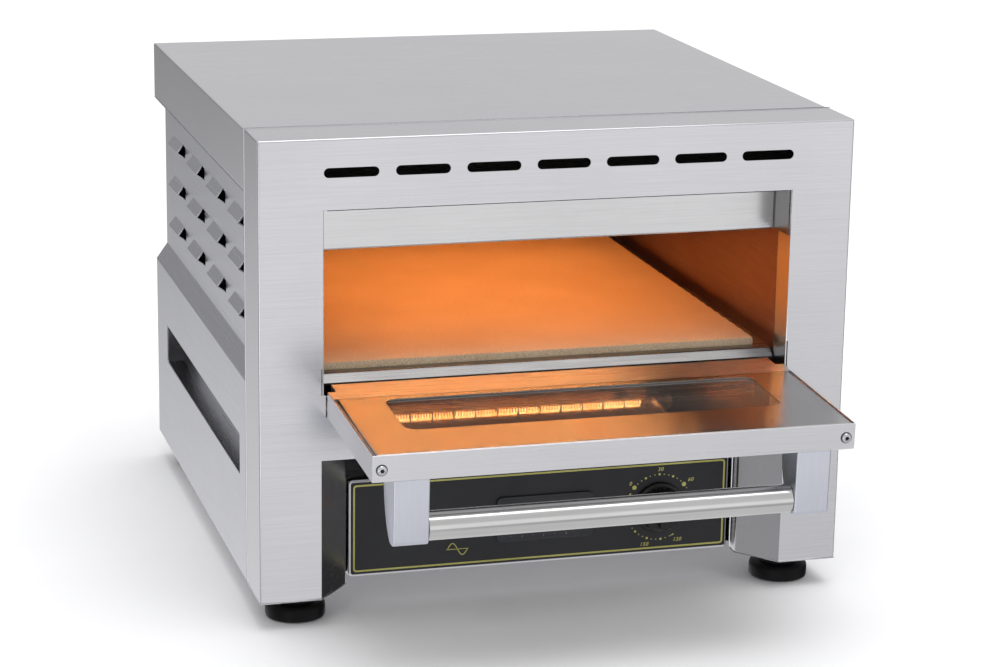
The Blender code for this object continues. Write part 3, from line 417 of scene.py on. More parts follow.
def folded(name, body, material, radius, tight=None, clamp=False):
    """A finer copy of a CAD sheet: its folds are round, some of them tighter, its rims eased."""
    bm = joined_faces(name)
    outer = fold_edges(bm, True)
    wide = [edge for edge in outer if not (tight and tight(edge))]
    round_edges(bm, wide, radius, 4, clamp)
    if tight:
        round_edges(bm, [edge for edge in fold_edges(bm, True) if tight(edge)], TIGHT_FOLD, 3)
    inner = fold_edges(bm, False)
    round_edges(bm, inner, max(radius - SHEET, 0.0003), 2, clamp)
    made = piece(f"{name}_shell", to_mesh(bm, name), body, material, name, smooth=0)
    ease(made, RIM)


def ease(obj, width, segments=2, angle=32):
    """Bevels the edges that turn sharply."""
    step = obj.modifiers.new("eased_edges", "BEVEL")
    step.width = width
    step.segments = segments
    step.limit_method = "ANGLE"
    step.angle_limit = math.radians(angle)
    step.harden_normals = True


def carried(name, material, width=0.0002):
    """A CAD node that stays as it is, with welded corners, eased edges and a real material."""
    obj = NODES[name]
    obj.data.materials.clear()
    obj.data.materials.append(MATERIALS[material])
    weld = obj.modifiers.new("welded", "WELD")
    weld.merge_threshold = 0.000005
    ease(obj, width, 1)


def lathe(profile, segments, place):
    """A turned shape about local Z from (radius, height) points."""
    bm = bmesh.new()
    verts = [bm.verts.new((r, 0, h)) for r, h in profile]
    for a, b in zip(verts, verts[1:]):
        bm.edges.new((a, b))
    bmesh.ops.spin(bm, geom=bm.verts[:] + bm.edges[:], cent=(0, 0, 0), axis=(0, 0, 1),
                   angle=math.tau, steps=segments, use_merge=True)
    bmesh.ops.remove_doubles(bm, verts=bm.verts, dist=0.000003)
    bm.transform(place)
    return bm


def on_circle(centre, radius, turn):
    """The point of a circle at a turn from its right."""
    return centre[0] + radius * math.cos(turn), centre[1] + radius * math.sin(turn)


def rounded_box(low, high, radius, steps=4):
    """A rectangle's outline with round corners."""
    (x0, y0), (x1, y1) = low, high
    points = []
    for cx, cy, start in ((x1 - radius, y1 - radius, 0), (x0 + radius, y1 - radius, 90),
                          (x0 + radius, y0 + radius, 180), (x1 - radius, y0 + radius, 270)):
        for i in range(steps + 1):
            points.append(on_circle((cx, cy), radius, math.radians(start + 90 * i / steps)))
    return points


def disc(centre, radius):
    """A circle's outline, of twenty points."""
    return [on_circle(centre, radius, math.tau * i / 20) for i in range(20)]


def plate(name, loops, thickness, place):
    """A flat outline with holes, filled and given thickness along its local Z, then placed."""
    curve = bpy.data.curves.new(name, "CURVE")
    curve.dimensions = "2D"
    curve.fill_mode = "BOTH"
    curve.extrude = thickness / 2
    for loop in loops:
        spline = curve.splines.new("POLY")
        spline.points.add(len(loop) - 1)
        for point, (u, v) in zip(spline.points, loop):
            point.co = (u, v, 0, 1)
        spline.use_cyclic_u = True
    return baked(curve, place)


def baked(curve, place):
    """A curve or text as a welded mesh."""
    shape = bpy.data.objects.new("shape", curve)
    bpy.context.scene.collection.objects.link(shape)
    bpy.context.view_layer.update()
    graph = bpy.context.evaluated_depsgraph_get()
    mesh = bpy.data.meshes.new_from_object(shape.evaluated_get(graph))
    bpy.data.objects.remove(shape, do_unlink=True)
    bm = bmesh.new()
    bm.from_mesh(mesh)
    bmesh.ops.remove_doubles(bm, verts=bm.verts, dist=0.000002)
    return to_mesh(bm, curve.name, place)


def extruded(outline, start, end, place):
    """A closed (u, v) outline run along local Z as one body."""
    bm = bmesh.new()
    face = bm.faces.new([bm.verts.new((u, v, start)) for u, v in outline])
    made = bmesh.ops.extrude_face_region(bm, geom=[face])
    moved = [v for v in made["geom"] if isinstance(v, bmesh.types.BMVert)]
    bmesh.ops.translate(bm, verts=moved, vec=(0, 0, end - start))
    bm.transform(place)
    return bm


def skinned(bm, rings):
    """A skin from ring to ring, closed at both ends."""
    sides = len(rings[0])
    for a, b in zip(rings, rings[1:]):
        for k in range(sides):
            bm.faces.new((a[k], a[(k + 1) % sides], b[(k + 1) % sides], b[k]))
    bm.faces.new(rings[0][::-1])
    bm.faces.new(rings[-1])


def swept(points, radius, sides):
    """A round wire through points, one ring to each, closed at its ends."""
    bm = bmesh.new()
    rings = []
    side = None
    for i, point in enumerate(points):
        ahead = points[min(i + 1, len(points) - 1)] - points[max(i - 1, 0)]
        ahead.normalize()
        if side is None:
            side = ahead.orthogonal().normalized()
        side = (side - ahead * side.dot(ahead)).normalized()
        up = ahead.cross(side)
        rings.append([bm.verts.new(point + side * (radius * math.cos(math.tau * k / sides))
                                   + up * (radius * math.sin(math.tau * k / sides)))
                      for k in range(sides)])
    skinned(bm, rings)
    return bm


def merge(meshes, name):
    """Several meshes as one."""
    bm = bmesh.new()
    for mesh in meshes:
        bm.from_mesh(mesh)
    out = bpy.data.meshes.new(name)
    bm.to_mesh(out)
    bm.free()
    return out


# ---- casing
def beside_mouth(edge):
    """Whether an edge borders the chamber's mouth rather than the casing's outside."""
    middle = (edge.verts[0].co + edge.verts[1].co) / 2
    height = middle.z - BASE_Z
    return abs(middle.x) < MOUTH_HALF + 0.003 and MOUTH_LOW - 0.008 < height < MOUTH_HIGH + 0.008


def build_casing():
    """The outer sheets, each with its own radius of fold."""
    folded("front_fascia", "oven", "case_steel", 0.0017, tight=beside_mouth)
    folded("top_cover", "oven", "case_steel", 0.0018)
    folded("left_side_panel", "oven", "side_steel", 0.0011)
    folded("right_side_panel", "oven", "side_steel", 0.0011)
    folded("control_tray", "oven", "case_steel", 0.0026)
    folded("rear_panel", "oven", "case_steel", 0.0011)
    for name in ("base_plate", "left_leg_floor", "right_leg_floor"):
        carried(name, "case_steel")


def build_feet():
    """Rubber feet with a sloped shoulder and a moulded waist."""
    profile = [(0, 0.0257), (0.0150, 0.0257), (0.0188, 0.0252), (0.0194, 0.0240), (0.0190, 0.0172),
               (0.0198, 0.0160), (0.0236, 0.0150), (0.0258, 0.0136), (0.0267, 0.0118),
               (0.0270, 0.0096), (0.0270, 0.0030), (0.0264, 0.0012), (0.0248, 0.0002), (0.0205, 0.0),
               (0.0190, 0.0010), (0, 0.0010)]
    for name in ("left_front", "right_front", "left_rear", "right_rear"):
        low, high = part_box(f"foot_{name}")
        middle = (low + high) / 2
        bm = lathe(profile, 72, Matrix.Translation((middle.x, middle.y, 0)))
        piece(f"rubber_foot_{name}", to_mesh(bm, "foot"), "oven", "rubber", f"foot_{name}", smooth=38)


# ---- controls
def ink_place(x, z):
    """Ink on the overlay's face, x from the oven's middle and z from the casing's bottom edge."""
    return Matrix.Translation((x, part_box("control_overlay")[0].y - INK / 2, BASE_Z + z)) @ FACING


def ink_plate(name, loops):
    """Printed outlines on the overlay."""
    return plate(name, loops, INK, ink_place(0, 0))


def label(text, x, z, size):
    """A number of the dial, in slanted figures."""
    curve = bpy.data.curves.new(f"label_{text}", "FONT")
    curve.body = text
    curve.size = size
    curve.extrude = INK / 2
    curve.align_x = "CENTER"
    curve.align_y = "CENTER"
    curve.shear = 0.25
    curve.space_character = 1.15
    curve.offset = 0.00006
    return baked(curve, ink_place(x, z))


def ring_dash(centre, radius, angle, length, width):
    """A short dash that follows the ring, its angle clockwise from the top."""
    half = math.degrees(length / 2 / radius)
    outer = []
    inner = []
    for i in range(7):
        turn = math.radians(90 - (angle - half + 2 * half * i / 6))
        for points, reach in ((outer, radius + width / 2), (inner, radius - width / 2)):
            points.append(on_circle(centre, reach, turn))
    return outer + inner[::-1]


def dial_marks():
    """The timer's scale round its knob: dots in three sizes, two dashes and its numbers."""
    centre = (DIAL.x, DIAL.z - BASE_Z)
    loops = []
    for step in range(36):
        angle = SCALE_START + step * SCALE_STEP
        if angle > 242 or 100 < angle < 158:
            continue
        size = 0.0021 if step in (0, 12) else 0.0011 if step % 3 == 0 else 0.00055
        loops.append(disc(on_circle(centre, SCALE_RADIUS, math.radians(90 - angle)), size))
    loops.append(ring_dash(centre, SCALE_RADIUS, 153, 0.0030, 0.0010))
    loops.append(ring_dash(centre, SCALE_RADIUS, 294, 0.0054, 0.0012))
    made = [ink_plate("dial_scale", [loop]) for loop in loops]
    for text, x, z in (("0", -0.0281, 0.0243), ("30", 0.0007, 0.0361), ("60", 0.0304, 0.0244),
                       ("120", 0.0188, -0.0330), ("150", -0.0134, -0.0355)):
        made.append(label(text, centre[0] + x, centre[1] + z, 0.0050))
    piece("dial_marks", merge(made, "dial_marks"), "oven", "ink", smooth=0)


def build_controls():
    """The printed panel and its badge, the timer and the pilot lamp."""
    build_overlay()
    dial_marks()
    build_lamp_mark()
    build_badge()
    build_knob()
    carried("timer_body", "pale_plastic")
    carried("timer_shaft", "screw_metal")
    carried("pilot_lamp_body", "pale_plastic")
    build_lamp_lens()


def framed(low, high, inset, width, radii, steps):
    """A thin frame's outer and inner outlines, set in from the corners of a rectangle."""
    loops = []
    for step, radius in zip((inset, inset + width), radii):
        loops.append(rounded_box((low[0] + step, low[1] + step), (high[0] - step, high[1] - step),
                                 radius, steps))
    return [loops[0], loops[1][::-1]]


def build_overlay():
    """The printed sheet over the control tray, with its border."""
    low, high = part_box("control_overlay")
    bm = joined_faces("control_overlay")
    ease(piece("overlay_sheet", to_mesh(bm, "overlay"), "oven", "overlay", "control_overlay"), 0.0001)
    loops = framed((low.x, low.z - BASE_Z), (high.x, high.z - BASE_Z), 0.0022, 0.0016,
                   (0.0030, 0.0018), 6)
    piece("overlay_border", ink_plate("border", loops), "oven", "ink", smooth=0)


def build_lamp_mark():
    """One period of a sine, drawn as a line of even width over its axis."""
    start, length, level, swing, half_line, steps = -0.0877, 0.0190, 0.0198, 0.0056, 0.00042, 28
    wave = []
    for side in (1, -1):
        for i in range(steps + 1)[::side]:
            t = i / steps
            slope = swing * math.tau / length * math.cos(math.tau * t)
            n = Vector((-slope, 1)).normalized() * (half_line * side)
            wave.append((start + length * t + n.x, level + swing * math.sin(math.tau * t) + n.y))
    left, right, low, high = start - 0.0009, start + length + 0.0009, level - 0.0003, level + 0.0003
    line = [(left, low), (right, low), (right, high), (left, high)]
    marks = [ink_plate("wave", [wave]), ink_plate("wave_line", [line])]
    piece("lamp_mark", merge(marks, "lamp_mark"), "oven", "ink", smooth=0)


def build_badge():
    """The blank badge with its raised frame and a row of plain ticks."""
    low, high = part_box("badge_plate")
    badge = piece("blank_badge", to_mesh(joined_faces("badge_plate"), "badge"), "oven", "badge",
                  "badge_plate", smooth=30)
    ease(badge, 0.0006, 3, 40)
    loops = framed((low.x, low.z - BASE_Z), (high.x, high.z - BASE_Z), 0.0025, 0.0008,
                   (0.0035, 0.0028), 5)
    rim = plate("badge_rim", loops, 0.0003, Matrix.Translation((0, low.y - 0.0001, BASE_Z)) @ FACING)
    piece("badge_rim", rim, "oven", "badge", smooth=0)
    top, half = 0.0288, 0.0002
    place = Matrix.Translation((0, low.y - INK / 2, BASE_Z)) @ FACING
    bars = []
    for i, x in enumerate((-0.0280, -0.0178, -0.0077, 0.0028, 0.0133, 0.0244, 0.0316)):
        foot = top - (0.0021 if i % 2 else 0.0007)
        tick = [(x - half, foot), (x + half, foot), (x + half, top), (x - half, top)]
        bars.append(plate("ticks", [tick], INK, place))
    piece("badge_ticks", merge(bars, "badge_ticks"), "oven", "pale_ink", smooth=0)


def build_lamp_lens():
    """The pilot lamp's domed lens."""
    low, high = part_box("pilot_lamp_lens")
    profile = [(0, -0.0056), (0.0022, -0.0054), (0.0040, -0.0046), (0.0053, -0.0030),
               (0.0060, -0.0016), (0.0062, -0.0011), (0.0050, -0.0010), (0.0050, 0.0140), (0, 0.0140)]
    middle = (low + high) / 2
    place = Matrix.Translation((middle.x, low.y + 0.0056, middle.z))
    piece("lamp_lens", to_mesh(lathe(profile, 48, place @ TO_Y), "lens"), "oven", "amber",
          "pilot_lamp_lens")


def build_knob():
    """A flanged knob with fluted sides and a raised grip bar with its index line."""
    low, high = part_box("timer_knob")
    seat = high.y - DIAL.y
    tip = low.y - DIAL.y
    rim = (high.x - low.x) / 2
    body_end = tip + 0.0050
    profile = [(0, seat), (rim - 0.0006, seat), (rim, seat - 0.0006), (rim, seat - 0.0026),
               (rim - 0.0005, seat - 0.0034), (rim * 0.875, seat - 0.0042), (rim * 0.845, seat - 0.0054),
               (rim * 0.825, seat - 0.0090), (rim * 0.805, body_end + 0.0022),
               (rim * 0.785, body_end + 0.0010), (rim * 0.745, body_end + 0.0002),
               (rim * 0.690, body_end), (rim * 0.30, body_end + 0.0004), (0, body_end + 0.0006)]
    place = Matrix.Translation(DIAL)
    bm = lathe(profile, 144, Matrix.Identity(4))
    for v in bm.verts:
        flat = Vector((v.co.x, v.co.y))
        if rim * 0.77 < flat.length < rim * 0.86 and v.co.z < seat - 0.0045:
            groove = max(0.0, math.cos(24 * math.atan2(v.co.y, v.co.x))) ** 2 * 0.0007
            v.co.x *= 1 - groove / flat.length
            v.co.y *= 1 - groove / flat.length
    bm.transform(place @ TO_Y)
    parts = [to_mesh(bm, "knob_body")]
    outline = rounded_box((-0.0044, -rim * 0.68), (0.0044, rim * 0.80), 0.0040, 6)
    bar = extruded(outline, -body_end - 0.0008, -tip, place @ FACING)
    tops = [e for e in bar.edges if all(abs(v.co.y - low.y) < 1e-5 for v in e.verts)]
    round_edges(bar, tops, 0.0012, 4)
    parts.append(to_mesh(bar, "knob_bar"))
    piece("timer_knob_moulding", merge(parts, "timer_knob"), "timer_knob", "knob", "timer_knob",
          smooth=32)
    index = plate("index", [rounded_box((-0.0006, rim * 0.18), (0.0006, rim * 0.74), 0.0005, 3)],
                  0.0001, Matrix.Translation((DIAL.x, low.y - 0.00004, DIAL.z)) @ FACING)
    piece("knob_index", index, "timer_knob", "ink", smooth=0)


# ---- chamber
def build_chamber():
    """The lined box, its baffle, sill and rails, and what lies round it."""
    for name in ("chamber_left_wall", "chamber_right_wall", "chamber_back_wall", "roof_reflector",
                 "chamber_floor"):
        carried(name, "chamber_steel")
    folded("upper_baffle", "oven", "lintel_steel", 0.0016)
    folded("front_sill", "oven", "mouth_shade_steel", 0.0010)
    folded("stone_rail_left", "oven", "mouth_shade_steel", 0.0009)
    folded("stone_rail_right", "oven", "mouth_shade_steel", 0.0009)
    # The insulation's wool is dark: painted shade seen through the fascia's slots.
    for name in ("insulation_top", "insulation_wrap", "insulation_floor"):
        carried(name, "wool", 0.003)
    carried("terminal_block", "pale_plastic", 0.0008)
    carried("safety_thermostat", "screw_metal", 0.0008)
    for side in ("left", "right"):
        carried(f"hinge_block_{side}", "screw_metal", 0.0006)
        carried(f"hinge_pin_{side}", "screw_metal", 0.0003)
        carried(f"tube_bracket_{side}", "lintel_steel", 0.0002)
    build_stone()


def build_stone():
    """Cast stone: a fine grid with crumbled edges and a slightly uneven top."""
    low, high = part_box("baking_stone")
    size = high - low
    cell = 0.0040
    counts = [max(2, round(s / cell)) for s in size]
    bm = bmesh.new()
    grid = {}

    def vertex(i, j, k):
        key = (i, j, k)
        if key not in grid:
            grid[key] = bm.verts.new((low.x + size.x * i / counts[0], low.y + size.y * j / counts[1],
                                      low.z + size.z * k / counts[2]))
        return grid[key]

    for u, v, flat in ((0, 1, 2), (0, 2, 1), (1, 2, 0)):
        for i in range(counts[u]):
            for j in range(counts[v]):
                for end in (0, counts[flat]):
                    corners = []
                    for a, b in ((0, 0), (1, 0), (1, 1), (0, 1)):
                        key = {u: i + a, v: j + b, flat: end}
                        corners.append(vertex(key[0], key[1], key[2]))
                    bm.faces.new(corners)
    sharp = [e for e in bm.edges if e.calc_face_angle(0) > 1.0]
    round_edges(bm, sharp, 0.0011, 2)
    near, crumble, unevenness = 0.0012, 0.00055, 0.00016
    for v in bm.verts:
        p = v.co
        wobble = math.sin(p.x * 2113.7 + p.y * 1411.3) * math.sin(p.y * 1877.1 - p.z * 2931.9)
        inward = Vector([-1 if p[a] > high[a] - near else 1 if p[a] < low[a] + near else 0
                         for a in range(3)])
        on_edge = inward.length > 1.2
        v.co += inward * (abs(wobble) * (crumble if on_edge else unevenness))
    piece("cast_stone", to_mesh(bm, "stone"), "oven", "stone", "baking_stone", smooth=50)


def build_heaters():
    """Quartz tubes with glowing coils and ceramic ends, and the sheathed loops under the stone."""
    for i in range(1, 6):
        build_quartz_heater(i)
    for i in (1, 2):
        build_sheathed_loop(i)


def build_quartz_heater(i):
    """A clear sleeve round a coil, its spacers, and a ceramic cap at each end."""
    low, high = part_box(f"quartz_tube_{i}")
    middle = (low + high) / 2
    radius, end = (high.z - low.z) / 2, high.x
    bore = radius - 0.0012
    place = Matrix.Translation((0, middle.y, middle.z)) @ TO_X
    sleeve = [(bore, -end), (bore + 0.0004, -end), (radius - 0.0003, -end), (radius, -end + 0.0004),
              (radius, end - 0.0004), (radius - 0.0003, end), (bore, end), (bore, -end)]
    piece(f"quartz_sleeve_{i}", to_mesh(lathe(sleeve, 32, place), "tube"), "oven", "quartz",
          f"quartz_tube_{i}")

    sides = 12
    points = []
    for k in range(COIL_TURNS * sides + 1):
        t = k / (COIL_TURNS * sides)
        a = math.tau * COIL_TURNS * t
        points.append(Vector((-COIL_HALF + 2 * COIL_HALF * t, middle.y + COIL_RADIUS * math.cos(a),
                              middle.z + COIL_RADIUS * math.sin(a))))
    piece(f"filament_{i}", to_mesh(swept(points, COIL_WIRE, 5), "coil"), "oven", "filament")

    spacer = [(0.0017, -0.0005), (0.0045, -0.0005), (0.0047, 0), (0.0045, 0.0005), (0.0017, 0.0005),
              (0.0017, -0.0005)]
    discs = [to_mesh(lathe(spacer, 20, Matrix.Translation((x * SPACER_PITCH, 0, 0)) @ place), "spacer")
             for x in range(-7, 9)]
    piece(f"coil_spacers_{i}", merge(discs, "spacers"), "oven", "sheath_metal")

    cap = [(0, 0.1780), (0.0030, 0.1780), (bore - 0.0002, 0.1786), (bore - 0.0002, 0.1985),
           (radius + 0.0010, 0.1986), (radius + 0.0012, 0.2020), (radius, 0.2040),
           (0.0022, 0.2046), (0, 0.2046)]
    for side, turn in (("left", place @ OVER), ("right", place)):
        piece(f"tube_end_{side}_{i}", to_mesh(lathe(cap, 28, turn), "cap"), "oven", "ceramic")


def build_sheathed_loop(i):
    """A rod that runs in from the left wall, turns round and runs back."""
    low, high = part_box(f"lower_element_{i}")
    radius = (high.z - low.z) / 2
    z = (low.z + high.z) / 2
    middle, bend = (low.y + high.y) / 2, (high.y - low.y) / 2 - radius
    right = high.x - radius - bend
    points = [Vector((low.x + (right - low.x) * t / 6, middle - bend, z)) for t in range(6)]
    for k in range(29):
        a = math.radians(-90 + 180 * k / 28)
        points.append(Vector((right + bend * math.cos(a), middle + bend * math.sin(a), z)))
    points += [Vector((right - (right - low.x) * t / 6, middle + bend, z)) for t in range(1, 7)]
    piece(f"sheathed_loop_{i}", to_mesh(swept(points, radius, 14), "loop"), "oven",
          "sheath_metal", f"lower_element_{i}")


# ---- door and handle
def build_door():
    """The pan with its hems, the polished panel, both panes and what hangs on them."""
    folded("door_pan", "door", "door_steel", 0.0015, clamp=True)
    folded("door_inner_panel", "door", "plate_steel", 0.0010)
    for side, sign in (("left", -1), ("right", 1)):
        outline = rounded_box((0.1 + 0.0100, 0.0295), (0.1 + 0.0172, 0.1712), 0.0012, 4)
        start, end = sorted((sign * 0.2073, sign * 0.2081))
        hem = extruded(outline, start, end, DOOR @ (Matrix.Translation((0, -0.1, 0)) @ ACROSS))
        ease(piece(f"pan_hem_{side}", to_mesh(hem, "hem"), "door", "door_steel", smooth=30), 0.0002)
    for name in ("door_inner_glass", "door_outer_glass"):
        bm = joined_faces(name)
        ease(piece(f"{name}_pane", to_mesh(bm, name), "door", "pane", name), 0.0005, 2)
    carried("glass_frame", "rubber", 0.0004)
    build_handle()
    build_door_screws()


def bracket_outline():
    """The bracket seen from its end, in the door's frame: a quarter ellipse under a flat top."""
    root, reach, top, depth, corner = -0.0053, 0.0592, 0.1710, 0.0360, 0.005
    axis = reach * 1.048
    last = math.acos(reach / axis)
    points = [(root, top), (root, top - depth)]
    steps = 40
    for i in range(1, steps + 1):
        turn = math.radians(90) + (last - math.radians(90)) * i / steps
        points.append((root - axis * math.cos(turn), top - depth * math.sin(turn)))
    tip = root - reach
    for i in range(9):
        turn = math.radians(180 - 90 * i / 8)
        points.append(on_circle((tip + corner, top - corner), corner, turn))
    return points


def build_handle():
    """Two cast brackets and the tube between them."""
    for side in ("left", "right"):
        low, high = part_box(f"handle_bracket_{side}")
        bm = extruded(bracket_outline(), low.x, high.x, DOOR @ ACROSS)
        bmesh.ops.recalc_face_normals(bm, faces=bm.faces)
        rims = [e for e in bm.edges if e.calc_face_angle(0) > 1.2]
        round_edges(bm, rims, 0.0016, 4)
        piece(f"cast_bracket_{side}", to_mesh(bm, "bracket"), "door", "bracket_metal",
              f"handle_bracket_{side}", smooth=30)
    low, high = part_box("handle_tube")
    centre = (low + high) / 2
    radius, half = (high.z - low.z) / 2, high.x
    bore = radius - 0.0015
    profile = [(bore, -half), (radius - 0.0004, -half), (radius, -half + 0.0004),
               (radius, half - 0.0004), (radius - 0.0004, half), (bore, half), (bore, -half)]
    tube = lathe(profile, 128, Matrix.Translation(centre) @ TO_X)
    piece("handle_bar", to_mesh(tube, "bar"), "door", "tube_steel", "handle_tube", smooth=30)


def screw_head(radius, rise, recess, depth, place, sides=48):
    """A domed head with a six-lobed recess."""
    bm = bmesh.new()

    def ring(r, height, lobed=0.0):
        out = []
        for k in range(sides):
            a = math.tau * k / sides
            reach = r * (1 + lobed * math.cos(6 * a))
            out.append(bm.verts.new((reach * math.cos(a), reach * math.sin(a), height)))
        return out

    rings = [ring(radius, 0.0), ring(radius, rise * 0.18)]
    for t in (0.25, 0.5, 0.75, 1.0):
        turn = math.radians(90 * t)
        span = radius - recess * 1.35
        rings.append(ring(recess * 1.35 + span * math.cos(turn * 0.92),
                          rise * (0.18 + 0.82 * math.sin(turn))))
    rings.append(ring(recess, rise, 0.14))
    rings.append(ring(recess * 0.96, rise - depth, 0.14))
    rings.append(ring(recess * 0.35, rise - depth * 1.15))
    skinned(bm, rings)
    return to_mesh(bm, "screw", place)


def build_door_screws():
    """The screws in the door's free edge: head and shank, with painted shade deep in the recess and a
    painted shadow ring round the head.
    """
    top = 0.1745
    for side, x in (("left", -0.2025), ("right", 0.2025)):
        place = DOOR @ Matrix.Translation((x, 0.0055, top + 0.0003))
        head = screw_head(0.0043, 0.0021, 0.0017, 0.0013, place)
        shank = lathe([(0, 0.0004), (0.0016, 0.0002), (0.0016, -0.0070), (0.0008, -0.0080), (0, -0.0080)],
                      24, place)
        piece(f"end_screw_{side}", merge([head, to_mesh(shank, "shank")], "screw"), "door",
              "screw_metal", f"door_screw_{side}")
        # A dark disc deep in the recess is painted shade; the dark ring round the head's foot is a painted
        # shadow.
        inner = lathe([(0, 0.0009), (0.0018, 0.0009), (0.0018, 0.0011), (0, 0.0011)], 24, place)
        ring = lathe([(0.0040, -0.0003), (0.0049, -0.0003), (0.0049, 0.0001), (0.0040, 0.0001),
                      (0.0040, -0.0003)], 40, place)
        painted_shades = merge([to_mesh(inner, "recess"), to_mesh(ring, "ring")], "recess")
        piece(f"screw_painted_shade_{side}", painted_shades, "door", "painted_shade")


def build_rear():
    """The gland's ribbed nut, and the screws that hold the back plate."""
    low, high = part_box("cable_gland")
    x, z = (low.x + high.x) / 2, (low.z + high.z) / 2
    start, end = low.y, high.y
    profile = [(0.0042, end), (0.0062, end), (0.0078, end - 0.0012), (0.0085, end - 0.0050),
               (0.0112, end - 0.0054), (0.0115, end - 0.0060), (0.0115, end - 0.0150),
               (0.0110, end - 0.0160), (0.0115, end - 0.0166), (0.0115, start + 0.0128),
               (0.0077, start + 0.0126), (0.0077, start), (0.0042, start), (0.0042, end)]
    bm = lathe(profile, 96, Matrix.Identity(4))
    for v in bm.verts:
        flat = Vector((v.co.x, v.co.y))
        if flat.length > 0.0109 and v.co.z > end - 0.0155:
            groove = (0.5 + 0.5 * math.cos(16 * math.atan2(v.co.y, v.co.x))) * 0.0005
            v.co.x *= 1 - groove / flat.length
            v.co.y *= 1 - groove / flat.length
    bm.transform(Matrix.Translation((x, 0, z)) @ TO_Y)
    piece("gland_nut", to_mesh(bm, "gland"), "oven", "knob", "cable_gland")
    plate_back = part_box("rear_panel")[1].y
    heads = []
    for sx in (-0.2560, 0.2560):
        for sz in (0.035, 0.105, 0.165):
            place = Matrix.Translation((sx, plate_back, BASE_Z + sz)) @ TO_Y
            heads.append(screw_head(0.0032, 0.0015, 0.0013, 0.0009, place, 36))
    piece("rear_screws", merge(heads, "rear_screws"), "oven", "screw_metal")


def build_baffle_fittings():
    """The baffle's two screws under the mouth's top return, its end angles in dark steel as painted shade,
    and a dark strip over it as a painted shadow.
    """
    heads = []
    for x in BAFFLE_SCREWS_X:
        place = Matrix.Translation((x, FACE_Y + 0.0110, BASE_Z + MOUTH_HIGH + 0.0002))
        heads.append(screw_head(0.0031, 0.0020, 0.0012, 0.0009, place @ OVER, 36))
    piece("baffle_screws", merge(heads, "baffle_screws"), "oven", "screw_metal")

    # Dark angles at the baffle's ends, in the darker steel: painted shade where the baffle's ends lie in
    # shade.
    side_x, thick = MOUTH_HALF - 0.0003, 0.0006
    front, back, inner = 0.0040, BAFFLE_DEPTH - 0.0004, 0.2010
    outline = [(side_x, front), (side_x, back), (inner, back), (inner, back - thick),
               (side_x - thick, back - thick), (side_x - thick, front)]
    for side, sign in (("left", -1), ("right", 1)):
        turned = [(sign * x, FACE_Y + y) for x, y in outline]
        angle = extruded(turned, BASE_Z + BAFFLE_LOW + 0.0003, BASE_Z + MOUTH_HIGH - 0.0004,
                         Matrix.Identity(4))
        ease(piece(f"baffle_angle_{side}", to_mesh(angle, "angle"), "oven", "mouth_shade_steel", smooth=30),
             0.00015)

    # A dark strip just under the mouth's top return: a painted shadow in the gap over the baffle.
    low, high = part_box("upper_baffle")
    line = rounded_box((low.x + 0.0030, BASE_Z + MOUTH_HIGH - 0.0009),
                       (high.x - 0.0030, BASE_Z + MOUTH_HIGH + 0.0002), 0.0004, 3)
    gap_shadow = plate("gap_shadow", [line], 0.0004, Matrix.Translation((0, FACE_Y + 0.0022, 0)) @ FACING)
    piece("mouth_gap_shadow", gap_shadow, "oven", "painted_shade", smooth=0)


# ---- studio
def stage_mesh(name, *faces):
    bm = bmesh.new()
    for corners in faces:
        bm.faces.new([bm.verts.new(corner) for corner in corners])
    mesh = bpy.data.meshes.new(name)
    bm.to_mesh(mesh)
    bm.free()
    made = bpy.data.objects.new(name, mesh)
    bpy.context.scene.collection.objects.link(made)
    return made


def build_stage():
    """A pale floor that only shows under the oven, on a white sweep that lights nothing."""
    floor = stage_mesh("floor", ((-1.7, -2.6, 0), (1.9, -2.6, 0), (1.9, 1.05, 0), (-1.7, 1.05, 0)))
    pale, tree, shader = new_material("pale_floor")
    soft = textured(tree, (3, 3, 3), 2.0)
    tree.links.new(two_colours(tree, soft, (0.90, 0.90, 0.90), (0.93, 0.93, 0.93)),
                   shader.inputs["Base Color"])
    shader.inputs["Roughness"].default_value = 0.9
    shader.inputs["Specular IOR Level"].default_value = 0.1
    floor.data.materials.append(pale)
    floor.visible_glossy = False

    low, wide, tall = -0.004, 9, 8
    backdrop = stage_mesh("backdrop",
                          ((-wide, -6, low), (wide, -6, low), (wide, wide, low), (-wide, wide, low)),
                          ((-wide, wide, low), (wide, wide, low), (wide, wide, tall),
                           (-wide, wide, tall)))
    white, tree, shader = new_material("backdrop_white")
    shader.inputs["Base Color"].default_value = (0, 0, 0, 1)
    shader.inputs["Emission Color"].default_value = (1, 1, 1, 1)
    shader.inputs["Emission Strength"].default_value = 1.0
    white.cycles.emission_sampling = "NONE"
    backdrop.data.materials.append(white)
    for flag in ("visible_diffuse", "visible_glossy", "visible_transmission", "visible_shadow"):
        setattr(backdrop, flag, False)


def build_world():
    """A soft tent: even all round, brighter in front and overhead, dimmer behind and to the left."""
    world = bpy.data.worlds.new("studio")
    bpy.context.scene.world = world
    world.use_nodes = True
    tree = world.node_tree
    background = tree.nodes["Background"]
    place = node(tree, "ShaderNodeTexCoord")
    total = None
    for direction, start, end, adds in TENT:
        dot = node(tree, "ShaderNodeVectorMath", operation="DOT_PRODUCT")
        dot.inputs[1].default_value = Vector(direction).normalized()
        tree.links.new(place.outputs["Generated"], dot.inputs[0])
        patch = node(tree, "ShaderNodeMapRange", interpolation_type="SMOOTHSTEP")
        patch.inputs["From Min"].default_value = start
        patch.inputs["From Max"].default_value = end
        patch.inputs["To Max"].default_value = adds
        tree.links.new(dot.outputs["Value"], patch.inputs["Value"])
        add = node(tree, "ShaderNodeMath", operation="ADD")
        add.inputs[0].default_value = TENT_BASE
        if total:
            tree.links.new(total, add.inputs[0])
        tree.links.new(patch.outputs["Result"], add.inputs[1])
        total = add.outputs["Value"]
    background.inputs["Color"].default_value = (0.985, 0.985, 1.0, 1)
    tree.links.new(total, background.inputs["Strength"])


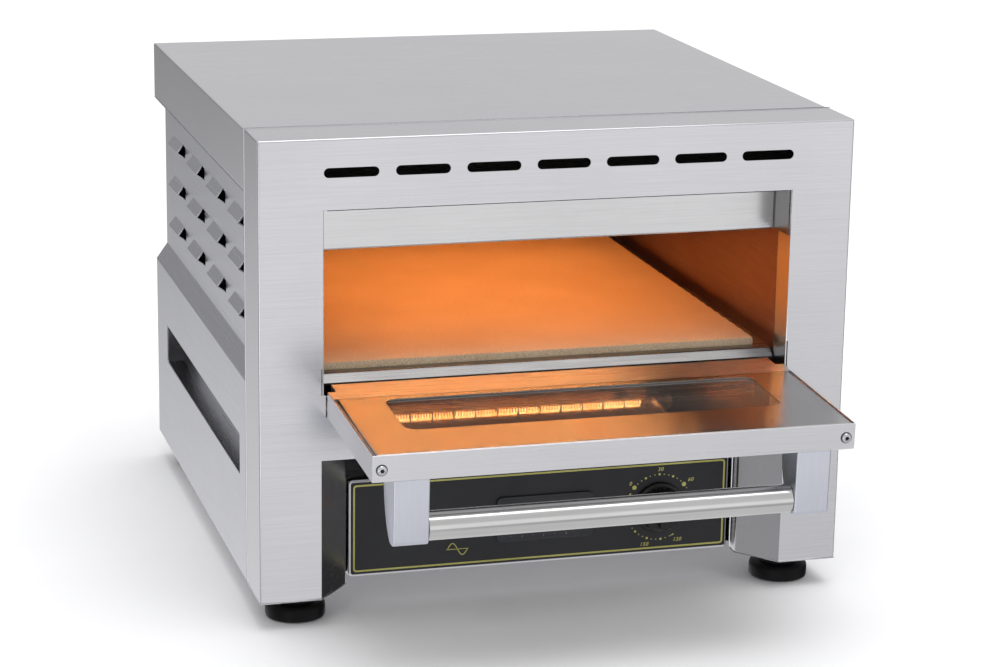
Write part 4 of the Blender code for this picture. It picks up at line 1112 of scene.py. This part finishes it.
def area_light(name, place, size, power, colour=(1, 1, 1), height=None):
    """A light that shines but isn't mirrored, facing straight down."""
    data = bpy.data.lights.new(name, "AREA")
    data.energy = power
    data.color = colour
    data.size = size
    if height:
        data.shape = "RECTANGLE"
        data.size_y = height
    light = bpy.data.objects.new(name, data)
    light.location = place
    light.visible_glossy = False
    bpy.context.scene.collection.objects.link(light)
    return light


def build_lights():
    """One soft light overhead, tilted towards the oven, and the heaters' glow under each tube."""
    place = Vector((0.1, -0.2, 2.6))
    overhead = area_light("overhead", place, 3.0, 26)
    overhead.rotation_euler = (-place).to_track_quat("-Z", "Y").to_euler()
    for i in range(1, 6):
        low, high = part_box(f"quartz_tube_{i}")
        area_light(f"heater_glow_{i}", (0, (low.y + high.y) / 2, low.z - 0.0006), 0.385, 0.13,
                   (1.0, 0.33, 0.075), 0.012)


def build_camera():
    flat = math.cos(CAMERA_PITCH)
    ahead = Vector((math.sin(CAMERA_YAW) * flat, math.cos(CAMERA_YAW) * flat, -math.sin(CAMERA_PITCH)))
    level_right = Vector((math.cos(CAMERA_YAW), -math.sin(CAMERA_YAW), 0))
    level_up = level_right.cross(ahead)
    right = level_right * math.cos(CAMERA_ROLL) + level_up * math.sin(CAMERA_ROLL)
    up = level_up * math.cos(CAMERA_ROLL) - level_right * math.sin(CAMERA_ROLL)
    data = bpy.data.cameras.new("camera")
    data.sensor_width = SENSOR_WIDTH
    data.lens = FOCAL_LENGTH
    data.clip_end = 60
    camera = bpy.data.objects.new("camera", data)
    x, y, z = CAMERA_PLACE
    camera.matrix_world = Matrix((
        (right.x, up.x, -ahead.x, x),
        (right.y, up.y, -ahead.y, y + FACE_Y),
        (right.z, up.z, -ahead.z, z + BASE_Z),
        (0, 0, 0, 1),
    ))
    bpy.context.scene.collection.objects.link(camera)
    bpy.context.scene.camera = camera
    bpy.context.scene.view_settings.view_transform = "Standard"


build_casing()
build_feet()
build_controls()
build_chamber()
build_heaters()
build_door()
build_rear()
build_baffle_fittings()
build_stage()
build_world()
build_lights()
build_camera()
